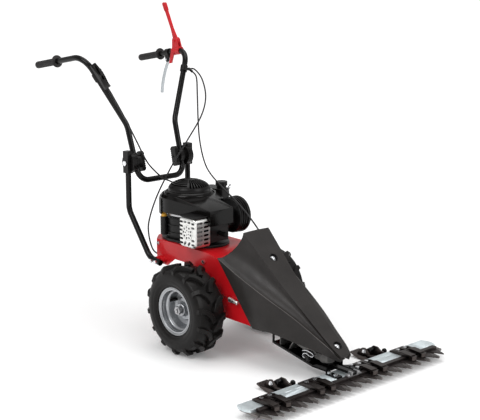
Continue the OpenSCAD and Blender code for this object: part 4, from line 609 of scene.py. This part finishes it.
pits = [on_ridge(x) for x in (HOOD_SCREW_X, NOSE_SCREW_X)]
for origin, out in pits:
    pit_drill = lathe(PIT_DRILL, origin + DRILL_ASIDE, out, PIT_SIDES)
    cut_out((hood, soft["chassis_frame"], soft["knife_gearbox"]), "drill", pit_drill, "hood_plastic")
dress(hood, "chassis", "hood_plastic", ("front_hood",))
for k, (origin, out) in enumerate(pits, 1):
    turned(f"screw_pit_{k}", PIT_RIM, origin, out, "chassis", "black_plastic", caps=False)
    turned(f"pit_screw_{k}", [(d - PIT_DEPTH, r) for d, r in PIT_SCREW], origin, out, "chassis", "zinc")
sharpen(hood, 40.0)

# A thin light line on the shoulder's crest, a painted highlight, which ends short of the nose
CREST_R, CREST_OUT, CREST_UP = 1.1 * MM, 0.5, 0.7
for side, name in SIDES:
    crest = [at(p.x, side * (p.y + CREST_OUT), p.z + CREST_UP) for p in SHOULDER_LINE[1:-6]]
    piece("hood_crest_" + name, *sweep(crest, CREST_R, 8), "chassis", "hood_edge")


# Cable adjuster on the right side panel, with its wire

BARREL_REAR, BARREL_FRONT = at(143, -119.6, 218), at(191, -119.6, 211)
BARREL = [(0, 2.0), (0, 5.8), (1.2, 7.0), (33, 7.0), (33.8, 5.2), (37, 5.2), (37.8, 6.8), (46, 6.8), (47, 6.0),
          (47, 2.0)]
WIRE_R = 1.2 * MM
wire = smooth_line([at(88, -111, 225), at(97, -117, 223.6), at(120, -119.6, 221), BARREL_REAR], 6)
turned("adjuster_barrel", BARREL, BARREL_REAR, BARREL_FRONT - BARREL_REAR, "chassis", "guard_steel", sides=24)
piece("adjuster_wire", *sweep(wire, WIRE_R, 8), "chassis", "cable_sleeve")


# Grips: ribbed rubber sleeves with a collar

RIBS_FROM, RIBS_TO, RIB_PITCH = 10.0, 118.0, 4.6
GRIP_END = [(-4.0, 6.0), (-4.0, 9.5), (-3.0, 11.5), (-1.0, 13.2), (2.0, 14.0), (8.0, 14.0)]
GRIP_RIB = [(0.0, 13.9), (0.6, 13.0), (1.8, 13.0), (2.4, 13.9), (4.0, 13.9)]
GRIP_COLLAR = [(122.0, 14.0), (128.0, 14.4), (131.0, 17.0), (132.0, 21.5), (133.2, 23.6), (135.0, 24.0),
               (137.0, 23.6), (138.0, 22.0), (138.0, 11.2)]


def grip_profile():
    line = list(GRIP_END)
    d = RIBS_FROM
    while d < RIBS_TO:
        line += [(d + along, r) for along, r in GRIP_RIB]
        d += RIB_PITCH
    return [(d * MM, r * MM) for d, r in line + GRIP_COLLAR]


grip_parts = []
for side, _ in SIDES:
    start, bend = at(-831, side * 253, 980), at(-520, side * 250, 1034)
    grip_parts.append(lathe(grip_profile(), start, bend - start))
grips = piece("ribbed_grips", *joined(grip_parts), "handle", "grip_rubber", ("handle_grips",))
sharpen(grips, 50.0)


# Tyres: a turned carcass with side rings, and curved lugs in two rows

WHEEL_R, TRACK_HALF, LUGS, TYRE_SIDES = 165.0, 200.0, 14, 96
# Radius and distance from the tyre's middle plane, from the bead to the crown
CARCASS = [(76.3, 49.6), (88.3, 49.6), (89.0, 54.0), (90.5, 56.6), (93.0, 58.0), (95.0, 57.6), (96.2, 58.4),
           (104.0, 61.2), (110.0, 62.0), (113.0, 61.6), (114.2, 62.0), (124.0, 61.9), (134.0, 60.4),
           (142.0, 57.4), (147.0, 52.5), (149.0, 45.0), (149.8, 34.0), (150.0, 18.0), (150.0, 0.0)]
TREAD_FROM_R = 130.0
# A lug's middle line: distance from the tyre's middle plane, and along its circumference
LUG_LINE = [(60.0, 0.0), (53.0, 0.5), (44.0, 2.5), (33.0, 7.5), (23.0, 15.5), (14.5, 26.0), (8.0, 38.0),
            (4.0, 50.0)]
LUG_FOOT, LUG_EDGE, LUG_TOP, LUG_CHAMFER, LUG_ROOT, LUG_LEAST = 10.2, 8.0, 7.0, 1.4, 3.0, 2.0
# Past this distance from the middle plane a lug's top falls towards the side wall
LUG_FALL_FROM, LUG_FALL_OVER, LUG_FALL_TO_R, LUG_FALL_POWER = 42.0, 18.0, 149.0, 1.4


def carcass_radius(z):
    outer = [p for p in CARCASS if p[0] > TREAD_FROM_R]
    for (r0, z0), (r1, z1) in zip(outer, outer[1:]):
        if z1 <= z <= z0:
            return lerp(r0, r1, (z0 - z) / (z0 - z1))
    return outer[0][0]


def lug_section(z):
    """Radius and half width of a lug's corners at a distance from the middle plane."""
    top = WHEEL_R
    if z >= LUG_FALL_FROM:
        top = lerp(WHEEL_R, LUG_FALL_TO_R, ((z - LUG_FALL_FROM) / LUG_FALL_OVER) ** LUG_FALL_POWER)
    low = min(carcass_radius(abs(z)) - LUG_ROOT, top - LUG_LEAST)
    half = [(low, LUG_FOOT), (top - LUG_CHAMFER, LUG_EDGE), (top, LUG_TOP)]
    return half + [(r, -w) for r, w in reversed(half)]


def tyre_mesh(side):
    centre = at(0, side * TRACK_HALF, WHEEL_R)

    def spot(r, z, a):
        return centre + MM * Vector((r * math.cos(a), side * z, r * math.sin(a)))

    profile = [(z, r) for r, z in CARCASS] + [(-z, r) for r, z in reversed(CARCASS[:-1])]
    rings = [[spot(r, z, 2 * math.pi * k / TYRE_SIDES) for k in range(TYRE_SIDES)] for z, r in profile]
    # The last ring is the first one again, so that the tube closes on itself
    verts, faces = prism(rings + rings[:1], caps=False)
    del verts[-TYRE_SIDES:]
    faces = [tuple(k % len(verts) for k in face) for face in faces]
    parts = [(verts, faces)]
    for row in (-1, 1):
        for i in range(LUGS):
            a0 = 2 * math.pi * (i + (row + 1) / 4) / LUGS
            lug = []
            for t, (z, arc) in enumerate(LUG_LINE):
                (z0, s0), (z1, s1) = LUG_LINE[max(t - 1, 0)], LUG_LINE[min(t + 1, len(LUG_LINE) - 1)]
                along = Vector((z1 - z0, s1 - s0)).normalized()
                lug.append([spot(r, row * (z - along.y * half), a0 - (arc + along.x * half) / WHEEL_R)
                            for r, half in lug_section(z)])
            parts.append(prism(lug))
    return joined(parts)


for side, name in SIDES:
    tyre = piece("lugged_tyre_" + name, *tyre_mesh(side), "wheel_" + name, "tyre", ("tyre_" + name,))
    tidy_normals(tyre, 28.0)


# Rims: stepped pressed dishes with a hub and a rubber valve, and the drilled ends of the axle

RIM = [(50.0, 75.8), (50.0, 87.0), (51.0, 88.0), (52.6, 88.0), (53.6, 87.0), (53.4, 85.2), (50.8, 80.8),
       (47.0, 77.4), (40.0, 74.4), (31.0, 73.2), (28.8, 71.5), (27.0, 67.4), (24.5, 65.6), (12.0, 63.6),
       (2.0, 62.2), (-2.0, 60.3), (-4.0, 56.5), (-4.0, 44.5), (-1.0, 41.5), (3.5, 40.3), (5.8, 38.0),
       (6.4, 30.5), (7.6, 27.2), (12.0, 24.6), (24.0, 23.6), (26.0, 22.0), (26.0, 10.8), (-26.0, 10.8),
       (-26.0, 22.0), (-24.0, 24.0), (-9.0, 25.0), (-8.0, 40.0), (-8.0, 57.0), (-10.0, 61.0), (-22.0, 64.0),
       (-30.0, 70.0), (-44.0, 75.0), (-50.8, 80.8), (-53.4, 85.2), (-53.6, 87.0), (-52.6, 88.0), (-51.0, 88.0),
       (-50.0, 87.0), (-50.0, 75.8), (50.0, 75.8)]
VALVE = [(0.0, 5.2), (12.0, 5.0), (14.0, 4.0), (24.0, 3.6), (24.5, 4.2), (31.0, 4.2), (32.0, 3.4), (32.0, 1.0)]
VALVE_AT, VALVE_IN = Vector((-0.054, 0, 0.022)), 0.005
AXLE_END, AXLE_BORE = 0.0403, [(-9 * MM, 6.2 * MM), (6 * MM, 6.2 * MM)]
for side, name in SIDES:
    centre = at(0, side * TRACK_HALF, WHEEL_R)
    out = Vector((0, side, 0))
    body = "wheel_" + name
    turned("dished_rim_" + name, RIM, centre, out, body, "rim_silver", ("rim_" + name,),
           sides=96, caps=False, crease=30.0)
    cut_out((soft["axle_shaft"],), "drill", lathe(AXLE_BORE, centre + AXLE_END * out, out, 31), "zinc")
    turned("valve_" + name, VALVE, centre + VALVE_AT - VALVE_IN * out, out, body, "tyre", sides=20)


# Recoil cover: a dome with ring grooves and a sector of radial slots, with painted shade on their floors

CRANK_X, SHROUD_Z = -215.0, 530.0
DOME_R, DOME_SKIRT, DOME_RISE, DOME_TURNS = 80.0, 14.6, 37.4, 240
GROOVE, GROOVE_FROM, GROOVE_PITCH, GROOVES = 5.0, 22.0, 8.6, 6
GROOVE_LIPS, GROOVE_IN, GROOVE_OUT = (0.0, 0.6, 3.8, 4.4), 0.3, 4.1
DOME_SEAT = 0.3 * MM
# In degrees from straight ahead; each slot and each rib takes one turn of 4.5
SECTOR_HALF, RINGS_FROM, SLOT_TURN, OFF_EDGE = 42, 47, 4.5, 0.5
SLOT_FROM_R, SLOT_TO_R = 24, 73
# How far out, and how far under the dome's skin, the floors get painted shade
SHADE_TO_R, SHADE_BELOW = 79, 1.2
COLLAR = [(-20, 96.5), (-6, 96.5), (0, 95.5), (5, 92.5), (8.5, 88.5), (10.5, 84.0), (11.2, 79.0), (6, 76.0)]
groove_starts = [GROOVE_FROM + GROOVE_PITCH * k for k in range(GROOVES)]


def dome_share(r):
    """The share of the dome's rise that is left at a radius."""
    return math.sqrt(max(0.0, 1 - (r / DOME_R) ** 2))


def groove_depth(r, deg):
    off = abs((deg + 180) % 360 - 180)
    if off < SECTOR_HALF:
        slot = int((deg + SECTOR_HALF) % 360 / SLOT_TURN) % 2
        return GROOVE if SLOT_FROM_R < r < SLOT_TO_R and slot else 0.0
    ring = any(a + GROOVE_IN < r < a + GROOVE_OUT for a in groove_starts)
    return GROOVE if off > RINGS_FROM and ring else 0.0


def dome_mesh():
    radii = [5.0, 14.0, 20.0]
    radii += [a + lip for a in groove_starts for lip in GROOVE_LIPS]
    radii += [75.0, 77.5, 79.2, DOME_R]
    rings = []
    for r in radii:
        ring = []
        for k in range(DOME_TURNS):
            deg = 360.0 * k / DOME_TURNS
            z = SHROUD_Z + DOME_SKIRT + DOME_RISE * dome_share(r) - groove_depth(r, deg + OFF_EDGE)
            ring.append(at(CRANK_X + r * math.cos(math.radians(deg)), r * math.sin(math.radians(deg)), z))
        rings.append(ring)
    rings.append([Vector((p.x, p.y, SHROUD_Z * MM + DOME_SEAT)) for p in rings[-1]])
    return prism(rings)


dome = piece("grooved_recoil_cover", *dome_mesh(), "chassis", "black_plastic", ("recoil_cover",))
tidy_normals(dome, 28.0)
# The floors of the grooves and slots take the near-black finish: painted shade in the recesses
dome.data.materials.append(M["slot_dark"])
for face in dome.data.polygons:
    c = face.center - at(CRANK_X, 0, SHROUD_Z)
    r = math.hypot(c.x, c.y) / MM
    if r < SHADE_TO_R and c.z / MM < DOME_SKIRT + DOME_RISE * dome_share(r) - SHADE_BELOW:
        face.material_index = 1
turned("shroud_collar", COLLAR, at(CRANK_X, 0, SHROUD_Z), UP, "chassis", "shroud_grey",
       sides=96, caps=False, crease=50.0)


# Air filter: a ribbed drum with a smooth cap

FILTER = [(3, 30), (3, 58), (5, 63), (6, 66), (10, 66), (11, 61.5), (15, 61.5), (16, 66.5), (20, 66.5),
          (21, 62), (25, 62), (26, 67), (30, 67), (31, 62.5), (35, 62.5), (36, 67.4), (37, 68), (45, 68),
          (48.5, 66.5), (50.5, 62.5), (51, 56), (50.4, 30), (48.5, 26), (48.5, 1)]
turned("ribbed_air_filter", FILTER, at(-45, 50, 462), LEFT, "chassis", "black_plastic", ("air_filter",),
       sides=72, crease=34.0)


# Muffler guard: a pressed box with slots and a ring of holes, under a heat shield

GUARD_X, GUARD_Z, GUARD_W, GUARD_H, GUARD_OUT, GUARD_IN = -50.0, 426.5, 90.0, 111.0, -150.0, -78.0
GUARD_WALL, CORNER_R, BEND_R, BEND_STEPS = 1.8, 16, 10, 6
GUARD_FRONT, CUT_REACH, SLOT_R = -5, 7, 4.0
SLOT_ROWS = (464, 448.5, 433, 417.5, 402, 386.5)
ROSE_X, ROSE_Z = -48, 427
# Holes of the rose: how many, on what radius, and their own radius
ROSE_RINGS = ((9, 20.0, 4.4), (5, 8.5, 3.0))
EMBOSS = [(-0.8, 29.6), (1.2, 28.8), (1.6, 27.6), (1.2, 26.4), (-0.8, 25.6), (-0.8, 29.6)]
SHIELD = [(-97, -147), (-88, -152), (-12, -152), (-3, -147), (-3, -84), (-97, -84)]
SHIELD_LOW, SHIELD_TOP = 482.6, 486.0


def guard_ring(y, inset, r):
    outline = rounded_outline(GUARD_W - 2 * inset, GUARD_H - 2 * inset, r)
    return [at(GUARD_X + x, y, GUARD_Z + z) for x, z in outline]


def slot_cutter(a, b, r, way):
    """A round-ended cutter between two points, driven along way."""
    a, b = at(*a), at(*b)
    run = (b - a).normalized() if (b - a).length > 1e-6 else way.orthogonal().normalized()
    side = way.cross(run)
    line = []
    for centre, start in ((b, -90), (a, 90)):
        for k in range(7):
            t = math.radians(start + 30 * k)
            line.append(centre + r * MM * (run * math.cos(t) + side * math.sin(t)))
    return prism([[q + way * d * MM for q in line] for d in (-CUT_REACH, CUT_REACH)])


def face_slot(x0, z0, x1, z1, r=SLOT_R):
    return slot_cutter((x0, GUARD_OUT, z0), (x1, GUARD_OUT, z1), r, LEFT)


def front_slot(y0, y1, z):
    return slot_cutter((GUARD_FRONT, y0, z), (GUARD_FRONT, y1, z), SLOT_R, AHEAD)


def guard_cutters():
    cutters = []
    for z in SLOT_ROWS:
        cutters += [face_slot(-87, z, -75, z), front_slot(-136, -117, z), front_slot(-104, -88, z)]
        if abs(z - 425) > 12:  # the rose takes the place of the others
            cutters.append(face_slot(-21, z, -13, z))
    for x in (-60, -38):
        cutters += [face_slot(x - 3, 384, x + 3, 390, 5.0), face_slot(x - 4, 466, x + 4, 466, 4.2)]
    for count, ring_r, hole_r in ROSE_RINGS:
        for k in range(count):
            turn = 2 * math.pi * (k + 0.5) / count
            x, z = ROSE_X + ring_r * math.cos(turn), ROSE_Z + ring_r * math.sin(turn)
            cutters.append(face_slot(x, z, x, z, hole_r))
    return joined(cutters)


rings = []
for k in range(BEND_STEPS + 1):
    turn = math.radians(90 * k / BEND_STEPS)
    inset = BEND_R * (1 - math.sin(turn))
    rings.append(guard_ring(GUARD_OUT + BEND_R * (1 - math.cos(turn)), inset, CORNER_R - inset + 0.01))
rings.append(guard_ring(GUARD_IN, 0, CORNER_R))
verts, faces = prism(rings)
faces.pop()  # the side towards the muffler is open
guard = tidy_normals(piece("slotted_guard", verts, faces, None, "guard_steel"))
thicken(guard, GUARD_WALL)
apply_modifiers(guard)
cut_out((guard,), "cutters", guard_cutters(), "guard_steel")
dress(guard, "chassis", "guard_steel", ("muffler_guard",))
sharpen(guard, 38.0)
turned("guard_emboss", EMBOSS, at(ROSE_X, GUARD_OUT, ROSE_Z), RIGHT, "chassis", "guard_steel", caps=False)
heat_shield = piece("heat_shield", *plate_z(SHIELD, SHIELD_LOW, SHIELD_TOP), "chassis", "engine_black")
tidy_normals(heat_shield, 32.0, 0.8)


# Engine base on the deck, the duct behind the shroud, and the clip at the cap

BASE_REAR, BASE_REAR_R, BASE_FRONT, BASE_FRONT_R = (-215, 0), 102, (-96, -16), 84
# Height, and how far the outline is drawn in there
BASE_LEVELS = ((358.4, 0), (365, 0), (367.6, 1.0), (368.6, 3.6))
# The duct's section as radius and height, swept round the crankshaft
DUCT = [(93, 522), (106, 521), (112, 517), (115, 510), (115, 456), (111.5, 456), (111.5, 508), (109, 513),
        (93, 515)]
DUCT_FROM, DUCT_SPAN, DUCT_STEPS = 168, 84.0, 30
CLIP = ((-178, 158, 524), (-172, 162, 537), (-164, 162, 546), (-157, 158, 540), (-160, 152, 530),
        (-166, 148, 522))
CLIP_R = 2.2 * MM


def two_circles(a, ra, b, rb, inset, steps=28):
    """Outline round two circles that lie apart along x."""
    line = []
    for (cx, cy), r, start in ((b, rb, -90), (a, ra, 90)):
        for k in range(steps + 1):
            t = math.radians(start + 180.0 * k / steps)
            line.append((cx + (r - inset) * math.cos(t), cy + (r - inset) * math.sin(t)))
    return line


rings = []
for z, inset in BASE_LEVELS:
    outline = two_circles(BASE_REAR, BASE_REAR_R, BASE_FRONT, BASE_FRONT_R, inset)
    rings.append([at(x, y, z) for x, y in outline])
tidy_normals(piece("engine_base", *prism(rings), "chassis", "engine_black"), 50.0)

rings = []
for k in range(DUCT_STEPS + 1):
    a = math.radians(DUCT_FROM + DUCT_SPAN * k / DUCT_STEPS)
    rings.append([at(CRANK_X + r * math.cos(a), r * math.sin(a), z) for r, z in DUCT])
tidy_normals(piece("rear_duct", *prism(rings), "chassis", "black_plastic"), 30.0)
piece("cap_clip", *sweep(smooth_line([at(*q) for q in CLIP], 6), CLIP_R, 10), "chassis", "zinc")


# Front beam, open towards the right so that its inside shows

BEAM_HALF, BEAM_T = 41.0, 5.0
BEAM_IN, BEAM_FILL = BEAM_HALF - BEAM_T, BEAM_HALF - 1
BEAM_SIDE = [(150, 138), (283, 138), (283, 72.5), (479, 36.2), (545, 36.2), (545, 57), (300, 167), (262, 172),
             (150, 172)]
BEAM_LIP = [(283, 72.5), (479, 36.2), (545, 36.2), (545, 52), (500, 52), (481, 44), (291, 80), (291, 138),
            (283, 138)]
BEAM_FLOOR = [(283, 72.5), (479, 36.2), (479, 41.2), (283, 77.5)]
BEAM_TOP = [(150, 167), (262, 167), (262, 172), (150, 172)]
BEAM_REAR = [(150, 138), (283, 138), (291, 138), (300, 160), (262, 172), (150, 172)]
YOKE_HALF = [(479, 41), (542, 41), (560, 61), (615, 61), (615, 37), (547, 37)]
YOKE_LOW, YOKE_TOP = 36.2, 42.0
STRUT_UPRIGHT = [(318, 66), (322, 66), (322, 150), (318, 150)]
STRUT_SLANT = [(352, 64), (357, 63), (392, 118), (386, 118)]
# The spring clip's middle line as x and z, and half the width and thickness of its strip
SPRING = ((447, 91), (468, 95), (488, 92), (498, 85), (492, 79), (478, 80), (464, 84), (450, 80), (446, 72),
          (456, 66))
SPRING_Y, SPRING_HALF_W, SPRING_HALF_T = -50, 0.006, 0.0011

parts = [plate_y(BEAM_SIDE, BEAM_IN, BEAM_HALF), plate_y(BEAM_LIP, -BEAM_HALF, -BEAM_IN),
         plate_y(BEAM_FLOOR, -BEAM_FILL, BEAM_FILL), plate_y(BEAM_TOP, -BEAM_FILL, BEAM_FILL),
         plate_y(BEAM_REAR, -BEAM_HALF, -BEAM_IN)]
tidy_normals(piece("open_beam", *joined(parts), "chassis", "black_paint", ("front_beam",)), 32.0, 0.8)
yoke = plate_z([(x, -y) for x, y in YOKE_HALF] + YOKE_HALF[::-1], YOKE_LOW, YOKE_TOP)
tidy_normals(piece("yoke_plate", *yoke, "chassis", "black_paint"), 32.0, 0.8)
struts = joined([plate_y(STRUT_UPRIGHT, -38, 34), plate_y(STRUT_SLANT, -30, 34)])
tidy_normals(piece("beam_struts", *struts, "chassis", "cast_grey"), 32.0, 0.6)
ribbon = []
for q in smooth_line([at(x, SPRING_Y, z) for x, z in SPRING], 5):
    corners = ((-1, -1), (1, -1), (1, 1), (-1, 1))
    ribbon.append([q + Vector((0, w * SPRING_HALF_W, t * SPRING_HALF_T)) for w, t in corners])
tidy_normals(piece("belt_clip", *prism(ribbon), "chassis", "zinc"), 40.0)


# Cutter bar: joint lines and square holes in the carrier, and the two skids with their bolts

CARRIER_TOP, CARRIER_REAR, CARRIER_FRONT, ABOVE_CARRIER = 36.0, 552.0, 615.0, 40
JOINT_LINES, JOINT_HALF, JOINT_DEPTH = (387.0, 100.0), 0.9, 1.2
SQUARE_HOLES, SQUARE_HALF, SQUARE_REAR, SQUARE_FRONT, SQUARE_LOW = (270.0, 218.0), 3.5, 578, 585, 24
# An end shoe stands further out than its skid, by the share
SKID_Y, SHOE_SHARE, SHOE_R = 228.6, 1.79, 3.0 * MM
SKID_SOLE = [(427, 15), (471, 0.3), (552, 0.3), (598, 20), (568, 20), (547, 5), (473, 5), (430, 21)]
SKID_LUG = [(446, 12), (462, 5), (505, 5), (505, 24), (494, 36), (482, 42), (470, 40), (458, 32)]
SKID_CHEEK = [(462, 3), (551, 3), (551, 38), (536, 40), (520, 50), (500, 50), (488, 40), (470, 30)]
SKID_RIB = [(445, 14), (472, 4), (548, 4), (548, 12), (500, 16), (470, 16)]
SKID_WEB = [(500, 4), (546, 4), (546, 30), (500, 24)]
PIVOT = [(-2, 8.5), (16, 8.5), (18, 7), (18, 0.5)]
KNOB = [(0, 4.2), (22, 4.2), (22, 8.0), (23.5, 9.4), (30, 9.4), (32, 8), (32, 0.5)]
SHOE = ((566, 22), (578, 6), (594, 3), (618, 4), (634, 12), (640, 20))


def carrier_cutters():
    cutters = []
    for side in (-1, 1):
        for y in JOINT_LINES:
            cutters.append(block((CARRIER_REAR - 3, side * y - JOINT_HALF, CARRIER_TOP - JOINT_DEPTH),
                                 (CARRIER_FRONT + 3, side * y + JOINT_HALF, ABOVE_CARRIER)))
        for y in SQUARE_HOLES:
            cutters.append(block((SQUARE_REAR, side * y - SQUARE_HALF, SQUARE_LOW),
                                 (SQUARE_FRONT, side * y + SQUARE_HALF, ABOVE_CARRIER)))
    return joined(cutters)


def hex_bolt(name, place, axis, r, h, body):
    """A hexagon head on a round washer."""
    washer = [(0, r * 1.35), (1.2, r * 1.35), (1.6, r * 1.2), (1.6, r * 0.5)]
    head = [(1.2, r), (h * 0.8, r), (h, r * 0.84), (h, 0.5)]
    turned(name + "_washer", washer, place, axis, body, "zinc", sides=28)
    turned(name, head, place, axis, body, "zinc", sides=6, crease=20.0)


def skid_parts(y):
    """One skid: a sole turned up behind, a lug, a far cheek, a rib and a web."""
    return [plate_y(SKID_SOLE, y - 24, y + 24), plate_y(SKID_LUG, y - 7, y - 2),
            plate_y(SKID_CHEEK, y + 17, y + 22), plate_y(SKID_RIB, y - 23, y - 19),
            plate_y(SKID_WEB, y - 12, y - 8)]


cut_out((soft["bar_carrier"],), "cutters", carrier_cutters(), "zinc")
soles = joined(skid_parts(-SKID_Y) + skid_parts(SKID_Y))
tidy_normals(piece("skid_soles", *soles, "chassis", "clamp_black", ("skids",)), 32.0, 0.9)
for k, y in enumerate((-SKID_Y, SKID_Y), 1):
    hex_bolt(f"skid_bolt_{k}", at(480, y - 7, 29), RIGHT, 6.0, 6.0, "chassis")
    turned(f"skid_pivot_{k}", PIVOT, at(500, y + 17, 38), RIGHT, "chassis", "black_paint")
    turned(f"skid_knob_{k}", KNOB, at(527, y + 21, 30), LEFT, "chassis", "black_paint")
    loop = smooth_line([at(x, y * SHOE_SHARE, z) for x, z in SHOE], 6)
    piece(f"end_shoe_{k}", *sweep(loop, SHOE_R, 10), "chassis", "machined_steel")


# Camera, fitted to the photograph

AZIMUTH, ELEVATION, FOCAL_PX, FRAME_W = math.radians(47.77), math.radians(12.71), 1126.9, 480.0
cam = bpy.data.cameras.new("photo_camera")
cam.sensor_width = 36.0
cam.lens = FOCAL_PX / FRAME_W * cam.sensor_width
cam.clip_end = 500.0
camera = bpy.data.objects.new("photo_camera", cam)
bpy.context.scene.collection.objects.link(camera)
look = Vector((-math.sin(AZIMUTH) * math.cos(ELEVATION), math.cos(AZIMUTH) * math.cos(ELEVATION),
               -math.sin(ELEVATION)))
camera.location = (3.062, -2.652, 1.398)
camera.rotation_euler = look.to_track_quat("-Z", "Y").to_euler()
bpy.context.scene.camera = camera


# Floor and world, as bright as the photograph's background where they are seen

def math_node(tree, operation, a, b):
    node = tree.nodes.new("ShaderNodeMath")
    node.operation = operation
    tree.links.new(a, node.inputs[0])
    tree.links.new(b, node.inputs[1])
    return node.outputs[0]


def floor_finish():
    """White floor that glows where it is seen, more so further out."""
    n = Nodes("floor_white")
    n.colour(n.ramp(n.noise(0.8, 3.0), [(0.3, (0.90, 0.90, 0.90)), (0.7, (0.93, 0.93, 0.93))]))
    n.set(Roughness=0.85, Specular_IOR_Level=0.1)
    ray = n.tree.nodes.new("ShaderNodeLightPath")
    seen = math_node(n.tree, "MAXIMUM", ray.outputs["Is Camera Ray"], ray.outputs["Is Glossy Ray"])
    reach = n.tree.nodes.new("ShaderNodeVectorMath")
    reach.operation = "LENGTH"
    n.link(n.coord, reach.inputs[0])
    glow = n.tree.nodes.new("ShaderNodeEmission")
    n.link(math_node(n.tree, "MULTIPLY", seen, n.span(reach.outputs["Value"], 0.10, 0.62, 0.9, 3.6)),
           glow.inputs["Strength"])
    both = n.tree.nodes.new("ShaderNodeAddShader")
    n.link(n.bsdf.outputs[0], both.inputs[0])
    n.link(glow.outputs[0], both.inputs[1])
    n.link(both.outputs[0], n.out.inputs[0])
    return n.mat


FLOOR_HALF = 120.0
floor_mesh = bpy.data.meshes.new("floor")
floor_corners = [(x * FLOOR_HALF, y * FLOOR_HALF, 0) for x, y in ((-1, -1), (1, -1), (1, 1), (-1, 1))]
floor_mesh.from_pydata(floor_corners, [], [(0, 1, 2, 3)])
floor_mesh.materials.append(floor_finish())
floor = bpy.data.objects.new("floor", floor_mesh)
bpy.context.scene.collection.objects.link(floor)

WORLD_LIGHT, WORLD_SEEN = 0.55, 1.0
world = bpy.data.worlds.new("studio")
bpy.context.scene.world = world
world.use_nodes = True
tree = world.node_tree
tree.nodes.clear()
world_out = tree.nodes.new("ShaderNodeOutputWorld")
sky = tree.nodes.new("ShaderNodeBackground")
sky.inputs["Color"].default_value = (1, 1, 1, 1)
ray = tree.nodes.new("ShaderNodeLightPath")
level = tree.nodes.new("ShaderNodeMapRange")
level.inputs["To Min"].default_value = WORLD_LIGHT
level.inputs["To Max"].default_value = WORLD_SEEN
seen = math_node(tree, "MAXIMUM", ray.outputs["Is Camera Ray"], ray.outputs["Is Transmission Ray"])
tree.links.new(seen, level.inputs["Value"])
tree.links.new(level.outputs[0], sky.inputs["Strength"])
tree.links.new(sky.outputs[0], world_out.inputs[0])


# Lamps

def lamp(name, place, aim, size, watts):
    data = bpy.data.lights.new(name, "AREA")
    data.shape = "RECTANGLE"
    data.size, data.size_y = size
    data.energy = watts
    obj = bpy.data.objects.new(name, data)
    bpy.context.scene.collection.objects.link(obj)
    obj.location = place
    obj.rotation_euler = (Vector(aim) - Vector(place)).to_track_quat("-Z", "Y").to_euler()


lamp("key", (0.6, -3.2, 3.6), (0, 0, 0.4), (2.4, 2.0), 75)
lamp("front", (3.6, 0.8, 2.4), (0.2, 0, 0.4), (2.0, 2.0), 45)
lamp("top", (-0.3, 0.6, 4.2), (0, 0, 0.3), (3.0, 3.0), 60)

bpy.context.scene.view_settings.view_transform = "Standard"
